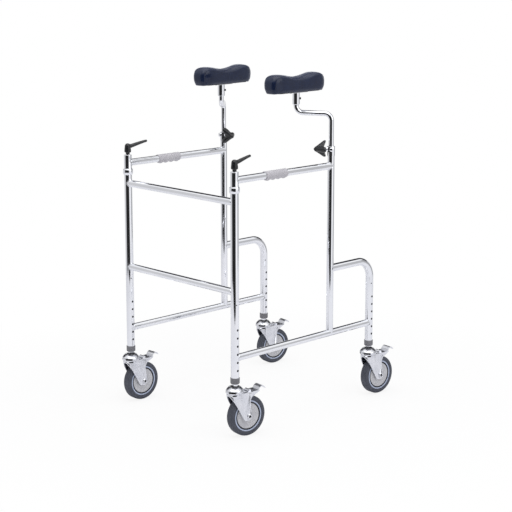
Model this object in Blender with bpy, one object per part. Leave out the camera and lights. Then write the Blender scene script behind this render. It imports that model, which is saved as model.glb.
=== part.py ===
"""Underarm walker: a front frame, two side frames that swing on the front posts, two cranked arm
supports with padded rests, and four telescopic legs on braked casters.

Metres, +Z up. X runs across the walker, +Y towards the open rear, and Z = 0 is the floor.
The left side, seen by the user, is at +X. The origin is the middle of the footprint.
"""

import math

import bmesh
import bpy
from mathutils import Matrix, Vector

# Overall sizes, between tube axes and above the floor
FRAME_WIDTH = 0.490
ARM_POST_Y = 0.413
REAR_LEG_Y = 0.602
TOP_RAIL_Z = 0.783
UPPER_BAR_Z = 0.718
LOWER_BAR_Z = 0.448
BOTTOM_RAIL_Z = 0.246
REAR_TUBE_Z = 0.456

# Clearances
GAP = 0.0003
SLIDE_GAP = 0.0007
SPIGOT_GAP = 0.0005

# Tubes
POST_RADIUS = 0.0125
RAIL_RADIUS = 0.0110
ARM_ROD_RADIUS = 0.0080
POST_WALL = 0.0015
RAIL_WALL = 0.0015
LEG_BORE = POST_RADIUS - POST_WALL
ARM_POST_BORE = ARM_ROD_RADIUS + 0.0017
ARM_POST_RADIUS = ARM_POST_BORE + 0.0013
REAR_BEND_RADIUS = 0.057
POST_SIDES = 16
RAIL_SIDES = 12
SMALL_SIDES = 10

# Front hinge posts
POST_TOP_Z = 0.808
COLLAR_LENGTH = 0.020
COLLAR_BASE_Z = 0.745
COLLAR_EDGE = 0.0015
COLLAR_RADIUS = POST_RADIUS + 0.0033
RING_CHAMFER = 0.0012
LOWER_SEAM_Z = 0.422
SPIGOT_RADIUS = LEG_BORE - 0.0015
SPIGOT_WALL = 0.0025
LOWER_SPIGOT = 0.040
TOP_STUD_RADIUS = 0.0040
TOP_STUD_LENGTH = 0.020

# Clamp levers on the front posts
LEVER_NECK_RADIUS = 0.0063
LEVER_HUB_RADIUS = 0.0105
LEVER_HUB_BASE = 0.0070
LEVER_HUB_EDGE = 0.0012
LEVER_HEIGHT = 0.0360
LEVER_HUB_CHAMFER = 0.0055
LEVER_REACH = 0.0625
LEVER_TIP_RISE = 0.0400
LEVER_ARM_ROOT_Z = 0.0270
LEVER_ARM_ROOT = 0.0066
LEVER_ARM_TIP = 0.0038
LEVER_ANGLE = {"left": 90.0, "right": 70.0}

# Hand grips on the top rails
GRIP_START_Y = 0.122
GRIP_LENGTH = 0.090
GRIP_RADIUS = 0.0138
GRIP_WAVE = 0.0022
GRIP_WAVES = 4
GRIP_STATIONS = 17
GRIP_EDGE = 0.0008
GRIP_END_ROUND = 0.12

# Arm supports
ARM_POST_TOP_Z = 0.8145
ARM_COLLAR_LENGTH = 0.030
ARM_COLLAR_RADIUS = ARM_POST_RADIUS + 0.0010
ARM_COLLAR_SPIGOT = 0.020
ARM_ROD_SIDES = 12
ARM_ROD_FOOT_Z = 0.600
CRANK_Z = 0.945
CRANK_LENGTH = 0.115
CRANK_BEND_RADIUS = 0.022
CRANK_ANGLE = {"left": 206.5, "right": -46.5}
BOSS_RADIUS = 0.0065
BOSS_Z = 0.835
BOSS_REACH = ARM_COLLAR_RADIUS + 0.0045
DOME_BOSS_REACH = ARM_COLLAR_RADIUS + 0.0075
DOME_BOSS_TURN = 90.0
KNOB_ANGLE = {"left": 225.0, "right": -8.0}
KNOB_RADIUS = 0.0295
KNOB_VALLEY = 0.0110
KNOB_SIDES = 18
KNOB_SWEEP_BACK = 0.0085
KNOB_SECTIONS = (
    (0.0000, 0.91), (0.0030, 1.00), (0.0085, 0.94), (0.0165, 0.67), (0.0235, 0.42), (0.0285, 0.23),
    (0.0308, 0.09))
KNOB_NECK_RADIUS = 0.0060
KNOB_NECK_LENGTH = 0.0070
KNOB_STUD_RADIUS = 0.0040

# Arm pads
SLEEVE_RADIUS = ARM_ROD_RADIUS + 0.0038
SLEEVE_LENGTH = 0.0400
PAD_SEAT_Z = 1.0098
PAD_RISE = {"left": 0.0, "right": 0.0068}
BRACKET_PLATE = 0.0025
BRACKET_LENGTH = 0.080
BRACKET_WIDTH = 0.034
BRACKET_CORNER = 0.006
BOARD_LENGTH = 0.190
BOARD_WIDTH = 0.050
BOARD_CORNER = 0.012
BOARD_THICKNESS = 0.0040
PAD_LENGTH = 0.234
PAD_WIDTH = 0.0618
PAD_HUMP_SPREAD = 0.0437
PAD_SQUARENESS = 0.42
PAD_END_DRAW = 0.040
PAD_HUMP_HEIGHT = 0.0573
PAD_DIP_HEIGHT = 0.0443
PAD_HUMP_Y = 0.0838
PAD_RIDGE = 0.94
PAD_AROUND = 24
PAD_LEVELS = (
    (0.84, 0.00), (0.95, 0.16), (1.00, 0.42), (0.985, 0.64), (0.90, 0.82), (0.66, 0.94))
PAD_ANGLE = {"left": 0.8, "right": 4.2}
PAD_SHIFT = {"left": -0.0068, "right": 0.0064}

# Casters. Their heights follow the wheel's size
WHEEL_RADIUS = 0.0625
WHEEL_TOP_Z = 2 * WHEEL_RADIUS
WHEEL_HALF_WIDTH = 0.0145
WHEEL_SIDES = 26
TREAD_HALF_WIDTH = 0.0060
TREAD_SHOULDER = 0.0035
TYRE_BORE = WHEEL_RADIUS - 0.0140
HUB_SIDES = 16
HUB_DISC_RADIUS = TYRE_BORE - 0.0095
HUB_GROOVE_RADIUS = TYRE_BORE - 0.0045
HUB_WEB_HALF = 0.0085
HUB_BOSS_RADIUS = 0.0110
HUB_BOSS_HALF = 0.0165
HUB_FACE_INSET = 0.0012
HUB_DISC_INSET = 0.0015
AXLE_RADIUS = 0.0048
AXLE_HEAD_RADIUS = 0.0085
AXLE_HEAD = 0.0030
TRAIL = 0.039
FORK_INNER_HALF = 0.0175
FORK_PLATE = 0.0028
FORK_OUTER_HALF = FORK_INNER_HALF + FORK_PLATE
FORK_WEB_TOP_Z = WHEEL_TOP_Z + 0.0130
FORK_WEB = 0.0030
FORK_ROUND_Y = -0.0060
FORK_FRONT = 0.0215
FORK_BACK = 0.0600
FORK_FOOT_Z = WHEEL_RADIUS - 0.0125
FORK_ROUND_STEPS = 8
WEB_BACK_Y = 0.0290
DOME_TOP_Z = WHEEL_TOP_Z + 0.0335
DOME_RADIUS = 0.0275
DOME_SHIFT = -0.0015
DOME_PLATEAU = 0.0185
SLOT_REACH = 0.036
DOME_SLOT = (52.0, 0.0220, WHEEL_TOP_Z + 0.0170, WHEEL_TOP_Z + 0.0220, DOME_RADIUS - 0.0045)
SKIRT_SLOT = (36.0, 0.0120, WHEEL_TOP_Z + 0.0080, WHEEL_TOP_Z + 0.0118, FORK_INNER_HALF - 0.0040)
STEM_RADIUS = 0.0063
STEM_NECK_RADIUS = 0.0090
STEM_NECK = 0.0070
STEM_HEAD_RADIUS = 0.0105
STEM_HEAD = 0.0035
CASTER_ANGLE = {
    ("left", "front"): -9.0,
    ("right", "front"): -1.0,
    ("left", "rear"): -4.0,
    ("right", "rear"): -8.0,
}

# Brake pedals. Their outlines are (y, z) points from the pivot
PEDAL_PIVOT_Y = 0.0394
PEDAL_PIVOT_Z = WHEEL_TOP_Z + 0.0050
PEDAL_PIN_RADIUS = 0.0025
PEDAL_PIN_GAP = 0.00045
PEDAL_HUB_RADIUS = 0.0043
PEDAL_SIDE_GAP = 0.0006
PEDAL_PLATE = 0.0024
PEDAL_CHEEK = 0.0018
PEDAL_TOE_HALF = 0.0155
PEDAL_SHOE_HALF = 0.0080
PEDAL_CAM_RADIUS = 0.0060
PEDAL_CAM_HALF = 0.0095
PEDAL_CAM = (0.0062, 0.0085)
PEDAL_TOP = ((0.0000, 0.0040), (0.0200, 0.0062), (0.0370, 0.0068))
PEDAL_TOE = ((0.0360, 0.0062), (0.0400, 0.0145), (0.0475, 0.0195), (0.0550, 0.0165), (0.0612, 0.0105))
PEDAL_CHEEK_OUTLINE = (
    (-0.0036, 0.0040), (-0.0022, -0.0034), (0.0136, -0.0082), (0.0270, -0.0012), (0.0385, 0.0050),
    (0.0385, 0.0072), (0.0200, 0.0060))
PEDAL_SHOE = ((0.0060, 0.0050), (0.0060, -0.0020), (0.0150, -0.0022), (0.0150, 0.0060))

# Legs and their telescopic ends
LEG_FOOT_Z = DOME_TOP_Z + 0.0143
HOLE_COUNT = 6
HOLE_PITCH = 0.025
HOLE_TOP_Z = LEG_FOOT_Z + 0.1612
HOLE_RADIUS = 0.0036
HOLE_SIDES = 8
BUSHING_RADIUS = POST_RADIUS + 0.0017
BUSHING_LENGTH = 0.0185
BUSHING_FLANGE = 0.0055
BUSHING_CHAMFER = 0.0028
INNER_TUBE_RADIUS = LEG_BORE - SLIDE_GAP
INNER_TUBE_WALL = 0.0015
INNER_TUBE_TOP_Z = LOWER_SEAM_Z - LOWER_SPIGOT - 0.0165
INNER_PLUG = 0.020
BUTTON_RADIUS = 0.0032
BUTTON_ROUND = 0.0012
BUTTON_FLANGE = 0.0013
BUTTON_FLANGE_RADIUS = 0.0046
BUTTON_FLANGE_INSET = 0.0082

SIDES = {"left": 1, "right": -1}
CHROME = ("chrome", (0.78, 0.79, 0.81), 0.08, 1.0)
ZINC = ("zinc_plate", (0.66, 0.67, 0.69), 0.25, 1.0)
BLACK_PLASTIC = ("black_plastic", (0.020, 0.021, 0.023), 0.35, 0.0)
GREY_GRIP = ("grey_grip", (0.36, 0.36, 0.37), 0.60, 0.0)
GREY_BUSH = ("grey_bush", (0.20, 0.20, 0.21), 0.45, 0.0)
NAVY_VINYL = ("navy_vinyl", (0.020, 0.028, 0.070), 0.40, 0.0)
BLACK_BOARD = ("black_board", (0.015, 0.015, 0.017), 0.60, 0.0)
TYRE_RUBBER = ("tyre_rubber", (0.080, 0.085, 0.105), 0.55, 0.0)
HUB_PLASTIC = ("hub_plastic", (0.380, 0.380, 0.385), 0.45, 0.0)


def clear_scene():
    for thing in list(bpy.data.objects):
        bpy.data.objects.remove(thing, do_unlink=True)


def material(finish):
    """The Principled BSDF of one finish, made once."""
    name, colour, roughness, metallic = finish
    found = bpy.data.materials.get(name)
    if found:
        return found
    made = bpy.data.materials.new(name)
    made.use_nodes = True
    made.diffuse_color = (*colour, 1.0)
    shader = made.node_tree.nodes["Principled BSDF"]
    shader.inputs["Base Color"].default_value = (*colour, 1.0)
    shader.inputs["Roughness"].default_value = roughness
    shader.inputs["Metallic"].default_value = metallic
    return made


def empty(name, parent, location=(0, 0, 0), turn=0.0):
    """A frame that pieces hang from, turned about Z by some degrees."""
    made = bpy.data.objects.new(name, None)
    bpy.context.scene.collection.objects.link(made)
    made.parent = parent
    made.location = location
    made.rotation_euler.z = math.radians(turn)
    return made


def piece(name, shape, finish, parent, sharp=35.0):
    """A named solid from a bmesh, shaded smooth apart from its sharp edges."""
    bmesh.ops.remove_doubles(shape, verts=shape.verts, dist=1e-6)
    bmesh.ops.recalc_face_normals(shape, faces=shape.faces)
    mesh = bpy.data.meshes.new(name)
    shape.to_mesh(mesh)
    shape.free()
    made = bpy.data.objects.new(name, mesh)
    bpy.context.scene.collection.objects.link(made)
    made.parent = parent
    mesh.shade_smooth()
    mesh.set_sharp_from_angle(angle=math.radians(sharp))
    if finish:
        mesh.materials.append(material(finish))
    return made


def tool(target, shape, operation):
    """A hidden helper solid that a Boolean takes from its target, or adds to it."""
    helper = piece(target.name + "_tool", shape, None, target.parent)
    helper.hide_render = True
    helper.display_type = "WIRE"
    modifier = target.modifiers.new(operation.lower(), "BOOLEAN")
    modifier.operation = operation
    modifier.solver = "EXACT"
    modifier.object = helper
    return helper


def cut(target, shape):
    return tool(target, shape, "DIFFERENCE")


def fuse(target, shape):
    return tool(target, shape, "UNION")


def even_shading():
    """Gives each Boolean result normals that follow its larger faces, so that flat plates look flat."""
    for thing in list(bpy.data.objects):
        if thing.type == "MESH" and thing.modifiers:
            thing.modifiers.new("even_shading", "WEIGHTED_NORMAL").keep_sharp = True


def filleted(corners, radius, steps, closed=False):
    """A path through corners, each one rounded to a radius that may differ by corner."""
    corners = [Vector(corner) for corner in corners]
    count = len(corners)
    radii = radius if isinstance(radius, (list, tuple)) else [radius] * count
    path = []
    for index, corner in enumerate(corners):
        at_end = not closed and index in (0, count - 1)
        if at_end or radii[index] == 0:
            path.append(corner)
            continue
        back = (corners[index - 1] - corner).normalized()
        ahead = (corners[(index + 1) % count] - corner).normalized()
        half = back.angle(ahead) / 2
        centre = corner + (back + ahead).normalized() * (radii[index] / math.sin(half))
        start = corner + back * (radii[index] / math.tan(half)) - centre
        end = corner + ahead * (radii[index] / math.tan(half)) - centre
        sweep = start.angle(end)
        for step in range(steps + 1):
            share = step / steps
            first = math.sin((1 - share) * sweep) / math.sin(sweep)
            second = math.sin(share * sweep) / math.sin(sweep)
            path.append(centre + start * first + end * second)
    return path


def bridge_rings(shape, rings, closed=False):
    """Quads between neighbouring rings of vertices. closed joins the last ring to the first."""
    pairs = list(zip(rings, rings[1:]))
    if closed:
        pairs.append((rings[-1], rings[0]))
    for low, high in pairs:
        for index in range(len(low)):
            after = (index + 1) % len(low)
            shape.faces.new((low[index], low[after], high[after], high[index]))


def swept(path, radius, sides, bore=0.0, across=(1, 0, 0), shape=None):
    """A round bar or tube along a flat path. across is the direction square to its plane."""
    shape = shape or bmesh.new()
    path = [Vector(point) for point in path]
    radii = radius if isinstance(radius, (list, tuple)) else [radius] * len(path)
    across = Vector(across).normalized()
    outer, inner = [], []
    for index, point in enumerate(path):
        ahead = path[min(index + 1, len(path) - 1)] - point
        behind = point - path[max(index - 1, 0)]
        tangent = (ahead.normalized() + behind.normalized()).normalized()
        beside = tangent.cross(across).normalized()
        stretch = 1.0
        if 0 < index < len(path) - 1:
            stretch = 1.0 / max(math.cos(ahead.angle(behind) / 2), 0.5)
        for rings, reach in ((outer, radii[index]), (inner, bore)):
            if reach <= 0:
                continue
            ring = []
            for side in range(sides):
                angle = 2 * math.pi * (side + 0.5) / sides
                offset = across * math.cos(angle) + beside * (stretch * math.sin(angle))
                ring.append(shape.verts.new(point + offset * reach))
            rings.append(ring)
    if inner:
        bridge_rings(shape, outer + inner[::-1], closed=True)
    else:
        bridge_rings(shape, outer)
        shape.faces.new(outer[0])
        shape.faces.new(outer[-1])
    return shape


def upright(radius, low, high, sides, bore=0.0, centre=(0, 0), shape=None):
    """A vertical bar or tube between two heights."""
    path = [(centre[0], centre[1], low), (centre[0], centre[1], high)]
    return swept(path, radius, sides, bore, shape=shape)


def turned(profile, sides, axis="Z", centre=(0, 0, 0), closed=False):
    """A solid of revolution. The profile holds (radius, height) points, top to bottom outside.
    closed joins its last point to its first, which leaves a bore."""
    shape = bmesh.new()
    points = [shape.verts.new((radius, 0, height)) for radius, height in profile]
    edges = [shape.edges.new(pair) for pair in zip(points, points[1:])]
    if closed:
        edges.append(shape.edges.new((points[-1], points[0])))
    bmesh.ops.spin(shape, geom=points + edges, axis=(0, 0, 1), cent=(0, 0, 0),
                   angle=2 * math.pi, steps=sides, use_merge=True)
    bmesh.ops.remove_doubles(shape, verts=shape.verts, dist=1e-6)
    half_step = Matrix.Rotation(math.pi / sides, 4, "Z")
    tilt = Matrix.Identity(4)
    if axis == "X":
        tilt = Matrix.Rotation(math.pi / 2, 4, "Y")
    bmesh.ops.transform(shape, matrix=Matrix.Translation(centre) @ tilt @ half_step, verts=shape.verts)
    return shape


def extruded(outline, low, high, shape=None):
    """An outline of (y, z) points carried along X from low to high."""
    shape = shape or bmesh.new()
    first = [shape.verts.new((low, y, z)) for y, z in outline]
    second = [shape.verts.new((high, y, z)) for y, z in outline]
    shape.faces.new(first)
    shape.faces.new(second)
    for index in range(len(first)):
        after = (index + 1) % len(first)
        shape.faces.new((first[index], first[after], second[after], second[index]))
    return shape


def block(low, high, shape=None):
    """A box between two corners."""
    outline = [(low[1], low[2]), (high[1], low[2]), (high[1], high[2]), (low[1], high[2])]
    return extruded(outline, low[0], high[0], shape)


def coped_tube(name, start, end, across, seats, parent, radius=RAIL_RADIUS, wall=RAIL_WALL):
    """A straight tube whose ends are cut to saddle the posts that it meets."""
    rail = piece(name, swept([start, end], radius, RAIL_SIDES, radius - wall, across), CHROME, parent)
    for (x, y), seat_radius, sides in seats:
        reach = radius * 2
        level = (start[2] + end[2]) / 2
        cut(rail, upright(seat_radius + GAP, level - reach, level + reach, sides, centre=(x, y)))
    return rail


def hinge_tube(name, parent):
    """The fixed middle of a front post, with the spigots that its side frame turns on."""
    shoulder_low = LOWER_SEAM_Z + GAP
    shoulder_high = COLLAR_BASE_Z - GAP
    spigot_top = POST_TOP_Z - GAP
    bore = SPIGOT_RADIUS - SPIGOT_WALL
    profile = [
        (0, spigot_top + TOP_STUD_LENGTH),
        (TOP_STUD_RADIUS, spigot_top + TOP_STUD_LENGTH),
        (TOP_STUD_RADIUS, spigot_top),
        (SPIGOT_RADIUS, spigot_top),
        (SPIGOT_RADIUS, shoulder_high),
        (POST_RADIUS, shoulder_high),
        (POST_RADIUS, shoulder_low),
        (SPIGOT_RADIUS, shoulder_low),
        (SPIGOT_RADIUS, LOWER_SEAM_Z - LOWER_SPIGOT),
        (bore, LOWER_SEAM_Z - LOWER_SPIGOT),
        (bore, shoulder_high - COLLAR_LENGTH),
        (0, shoulder_high - COLLAR_LENGTH),
    ]
    return piece(name, turned(profile, POST_SIDES), CHROME, parent)


def front_frame(parent):
    half = FRAME_WIDTH / 2
    for side, sign in SIDES.items():
        post = empty(side + "_post", parent, (sign * half, 0, 0))
        hinge_tube(side + "_hinge_tube", post)
        clamp_lever(side, post)
    seats = [((sign * half, 0), POST_RADIUS, POST_SIDES) for sign in SIDES.values()]
    for name, level in (("upper_crossbar", UPPER_BAR_Z), ("lower_crossbar", LOWER_BAR_Z)):
        coped_tube(name, (-half, 0, level), (half, 0, level), (0, 1, 0), seats, parent)


def clamp_lever(side, parent):
    """A moulded lever on the post's stud. Its arm leaves the domed hub and rises as it runs out."""
    frame = empty(side + "_lever_axis", parent, (0, 0, POST_TOP_Z), LEVER_ANGLE[side])
    hub = [
        (0, LEVER_HEIGHT),
        (LEVER_HUB_RADIUS * 0.62, LEVER_HEIGHT - 0.0004),
        (LEVER_HUB_RADIUS, LEVER_HEIGHT - LEVER_HUB_CHAMFER),
        (LEVER_HUB_RADIUS, LEVER_HUB_BASE + LEVER_HUB_EDGE),
        (LEVER_HUB_RADIUS - LEVER_HUB_EDGE, LEVER_HUB_BASE),
        (LEVER_NECK_RADIUS, LEVER_HUB_BASE - LEVER_HUB_EDGE),
        (LEVER_NECK_RADIUS, GAP),
        (0, GAP),
    ]
    lever = piece(side + "_clamp_lever", turned(hub, POST_SIDES), BLACK_PLASTIC, frame)
    tip = Vector((LEVER_REACH, 0, LEVER_TIP_RISE))
    along = (tip - Vector((0, 0, LEVER_ARM_ROOT_Z))).normalized() * LEVER_ARM_TIP
    arm = filleted([(0.002, 0, LEVER_ARM_ROOT_Z), (0.020, 0, LEVER_ARM_ROOT_Z + 0.0030), tip], 0.030, 2)
    taper = (LEVER_ARM_TIP - LEVER_ARM_ROOT) / LEVER_REACH
    radii = [LEVER_ARM_ROOT + taper * point.x for point in arm]
    arm += [tip + along * 0.65, tip + along]
    radii += [LEVER_ARM_TIP * 0.78, LEVER_ARM_TIP * 0.35]
    fuse(lever, swept(arm, radii, SMALL_SIDES, across=(0, 1, 0)))
    cut(lever, upright(TOP_STUD_RADIUS + SPIGOT_GAP, -GAP, TOP_STUD_LENGTH + GAP, POST_SIDES))


def upper_sleeve(name, parent):
    """The top of a front post, which carries the top rail. A collar ring ends it below."""
    bore = SPIGOT_RADIUS + SPIGOT_GAP
    collar_top = COLLAR_BASE_Z + COLLAR_LENGTH
    profile = [
        (POST_RADIUS, POST_TOP_Z),
        (POST_RADIUS, collar_top + COLLAR_EDGE),
        (COLLAR_RADIUS - RING_CHAMFER, collar_top),
        (COLLAR_RADIUS, collar_top - COLLAR_EDGE),
        (COLLAR_RADIUS, COLLAR_BASE_Z + COLLAR_EDGE),
        (COLLAR_RADIUS - RING_CHAMFER, COLLAR_BASE_Z),
        (bore, COLLAR_BASE_Z),
        (bore, POST_TOP_Z),
    ]
    return piece(name, turned(profile, POST_SIDES, closed=True), CHROME, parent)


def wave_grip(name, parent):
    """A moulded grip on the top rail, with finger waves along its underside."""
    shape = bmesh.new()
    bore = RAIL_RADIUS + GAP
    angles = [2 * math.pi * (side + 0.5) / RAIL_SIDES for side in range(RAIL_SIDES)]
    outer = []
    for station in range(GRIP_STATIONS):
        share = station / (GRIP_STATIONS - 1)
        near_end = max(0.0, abs(2 * share - 1) * GRIP_STATIONS - GRIP_STATIONS + 2)
        end_round = 1.0 - GRIP_END_ROUND * near_end
        ring = []
        for angle in angles:
            under = max(0.0, -math.sin(angle))
            wave = GRIP_WAVE * under * (0.5 - 0.5 * math.cos(2 * math.pi * GRIP_WAVES * share))
            reach = max((GRIP_RADIUS + wave) * end_round, bore + GRIP_EDGE)
            y = GRIP_START_Y + GRIP_LENGTH * share
            ring.append(shape.verts.new((reach * math.cos(angle), y, reach * math.sin(angle))))
        outer.append(ring)
    inner = []
    for y in (GRIP_START_Y + GRIP_LENGTH, GRIP_START_Y):
        ring = [(bore * math.cos(angle), y, bore * math.sin(angle)) for angle in angles]
        inner.append([shape.verts.new(point) for point in ring])
    bridge_rings(shape, outer + inner, closed=True)
    bmesh.ops.translate(shape, vec=(0, 0, TOP_RAIL_Z), verts=shape.verts)
    return piece(name, shape, GREY_GRIP, parent)


def hole_cutters(target, x_from, centre_y):
    """One drilled row of height holes, through the wall that faces +X."""
    shape = bmesh.new()
    for index in range(HOLE_COUNT):
        z = HOLE_TOP_Z - index * HOLE_PITCH
        path = [(x_from, centre_y, z), (POST_RADIUS * 1.5, centre_y, z)]
        swept(path, HOLE_RADIUS, HOLE_SIDES, across=(0, 0, 1), shape=shape)
    cut(target, shape)


def side_tubes(side, parent):
    """The tubes of one side frame, with its grip."""
    upper_sleeve(side + "_upper_sleeve", parent)
    front_leg = piece(
        side + "_front_leg_tube",
        upright(POST_RADIUS, LEG_FOOT_Z, LOWER_SEAM_Z, POST_SIDES, LEG_BORE), CHROME, parent)
    hole_cutters(front_leg, POST_RADIUS / 2, 0)

    front_seat = ((0, 0), POST_RADIUS, POST_SIDES)
    arm_seat = ((0, ARM_POST_Y), ARM_POST_RADIUS, RAIL_SIDES)
    rear_seat = ((0, REAR_LEG_Y), POST_RADIUS, POST_SIDES)
    coped_tube(side + "_top_rail", (0, 0, TOP_RAIL_Z), (0, ARM_POST_Y, TOP_RAIL_Z), (1, 0, 0),
               (front_seat, arm_seat), parent)
    coped_tube(side + "_bottom_rail", (0, 0, BOTTOM_RAIL_Z), (0, REAR_LEG_Y, BOTTOM_RAIL_Z), (1, 0, 0),
               (front_seat, rear_seat), parent)
    wave_grip(side + "_hand_grip", parent)

    arm_post = piece(
        side + "_arm_post",
        upright(ARM_POST_RADIUS, BOTTOM_RAIL_Z, ARM_POST_TOP_Z, RAIL_SIDES, ARM_POST_BORE, (0, ARM_POST_Y)),
        CHROME, parent)
    reach = ARM_POST_RADIUS * 3
    saddle = [(0, ARM_POST_Y - reach, BOTTOM_RAIL_Z), (0, ARM_POST_Y + reach, BOTTOM_RAIL_Z)]
    cut(arm_post, swept(saddle, RAIL_RADIUS + GAP, RAIL_SIDES))

    bend = filleted(
        [(0, ARM_POST_Y, REAR_TUBE_Z), (0, REAR_LEG_Y, REAR_TUBE_Z), (0, REAR_LEG_Y, LEG_FOOT_Z)],
        REAR_BEND_RADIUS, 6)
    rear_leg = piece(side + "_rear_leg_tube", swept(bend, POST_RADIUS, POST_SIDES), CHROME, parent)
    bore_top = REAR_TUBE_Z - REAR_BEND_RADIUS
    cut(rear_leg, upright(LEG_BORE, LEG_FOOT_Z - POST_RADIUS, bore_top, POST_SIDES, centre=(0, REAR_LEG_Y)))
    reach = POST_RADIUS * 2
    cut(rear_leg, upright(ARM_POST_RADIUS + GAP, REAR_TUBE_Z - reach, REAR_TUBE_Z + reach, RAIL_SIDES,
                          centre=(0, ARM_POST_Y)))
    hole_cutters(rear_leg, POST_RADIUS / 2, REAR_LEG_Y)


def turn_about_post(shape, degrees):
    bmesh.ops.rotate(shape, cent=(0, 0, 0), matrix=Matrix.Rotation(math.radians(degrees), 3, "Z"),
                     verts=shape.verts)
    return shape


def arm_collar(side, parent):
    """The clamp collar: a spigot in the arm post, the knob's boss and a domed boss beside it."""
    low = ARM_POST_TOP_Z + GAP
    high = ARM_POST_TOP_Z + ARM_COLLAR_LENGTH
    bore = ARM_ROD_RADIUS + SLIDE_GAP * 0.6
    spigot = ARM_POST_BORE - 2 * GAP
    profile = [
        (ARM_COLLAR_RADIUS - RING_CHAMFER, high),
        (ARM_COLLAR_RADIUS, high - RING_CHAMFER),
        (ARM_COLLAR_RADIUS, low),
        (spigot, low),
        (spigot, low - ARM_COLLAR_SPIGOT),
        (bore, low - ARM_COLLAR_SPIGOT),
        (bore, high),
    ]
    collar = piece(side + "_arm_collar", turned(profile, ARM_ROD_SIDES, closed=True), CHROME, parent)
    knob_turn = KNOB_ANGLE[side]
    start = ARM_COLLAR_RADIUS - 0.0020
    boss = [(start, 0, BOSS_Z), (BOSS_REACH, 0, BOSS_Z)]
    fuse(collar, turn_about_post(swept(boss, BOSS_RADIUS, SMALL_SIDES, across=(0, 0, 1)), knob_turn))
    dome = [(start, 0, BOSS_Z), (DOME_BOSS_REACH - 0.0025, 0, BOSS_Z), (DOME_BOSS_REACH - 0.0008, 0, BOSS_Z),
            (DOME_BOSS_REACH, 0, BOSS_Z)]
    radii = [BOSS_RADIUS, BOSS_RADIUS, BOSS_RADIUS * 0.75, BOSS_RADIUS * 0.35]
    dome_turn = knob_turn + SIDES[side] * DOME_BOSS_TURN
    fuse(collar, turn_about_post(swept(dome, radii, SMALL_SIDES, across=(0, 0, 1)), dome_turn))
    bolt = [(0, 0, BOSS_Z), (BOSS_REACH * 1.2, 0, BOSS_Z)]
    hole = swept(bolt, KNOB_STUD_RADIUS + SPIGOT_GAP, SMALL_SIDES, across=(0, 0, 1))
    cut(collar, turn_about_post(hole, knob_turn))


def star_knob(side, parent):
    """A clamping knob: three swept-back lobes with hollow flanks, on a neck and a stud."""
    frame = empty(side + "_knob_axis", parent, (0, 0, BOSS_Z), KNOB_ANGLE[side])
    seat = BOSS_REACH + GAP
    back = seat + KNOB_NECK_LENGTH
    shape = bmesh.new()
    rings = []
    for depth, scale in KNOB_SECTIONS:
        ring = []
        for index in range(KNOB_SIDES):
            angle = 2 * math.pi * index / KNOB_SIDES
            lobe = (0.5 + 0.5 * math.cos(3 * angle)) ** 1.4
            tip = KNOB_RADIUS * scale
            valley = min(KNOB_VALLEY * (0.55 + 0.45 * scale), tip)
            reach = valley + (tip - valley) * lobe
            x = back + depth - KNOB_SWEEP_BACK * lobe * scale
            ring.append(shape.verts.new((x, reach * math.cos(angle), reach * math.sin(angle))))
        rings.append(ring)
    bridge_rings(shape, rings)
    middle = shape.verts.new((back + 0.002, 0, 0))
    for index in range(KNOB_SIDES):
        shape.faces.new((rings[0][index], middle, rings[0][(index + 1) % KNOB_SIDES]))
    shape.faces.new(rings[-1])
    knob = piece(side + "_star_knob", shape, BLACK_PLASTIC, frame)
    neck = [(seat, 0, 0), (back + 0.006, 0, 0)]
    fuse(knob, swept(neck, KNOB_NECK_RADIUS, ARM_ROD_SIDES, across=(0, 0, 1)))
    stud = [(ARM_ROD_RADIUS + GAP, 0, 0), (seat + GAP, 0, 0)]
    fuse(knob, swept(stud, KNOB_STUD_RADIUS, ARM_ROD_SIDES, across=(0, 0, 1)))


def arm_rod(side, parent):
    """The cranked rod: up out of the post, across, and up again into the pad's sleeve."""
    path = filleted(
        [(0, 0, ARM_ROD_FOOT_Z), (0, 0, CRANK_Z), (CRANK_LENGTH, 0, CRANK_Z),
         (CRANK_LENGTH, 0, PAD_SEAT_Z - BRACKET_PLATE - GAP)], CRANK_BEND_RADIUS, 4)
    frame = empty(side + "_crank", parent, turn=CRANK_ANGLE[side])
    shape = swept(path, ARM_ROD_RADIUS, ARM_ROD_SIDES, across=(0, 1, 0))
    piece(side + "_arm_rod", shape, CHROME, frame)
    return frame


def rounded_plate(length, width, low, high, corner, steps=3):
    """A flat plate with round corners, centred on the Z axis, long way along Y."""
    shape = bmesh.new()
    outline = filleted(
        [(-width / 2, -length / 2, 0), (width / 2, -length / 2, 0), (width / 2, length / 2, 0),
         (-width / 2, length / 2, 0)], corner, steps, closed=True)
    rings = [[shape.verts.new((point.x, point.y, level)) for point in outline] for level in (low, high)]
    bridge_rings(shape, rings)
    shape.faces.new(rings[0])
    shape.faces.new(rings[1])
    return shape


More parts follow.
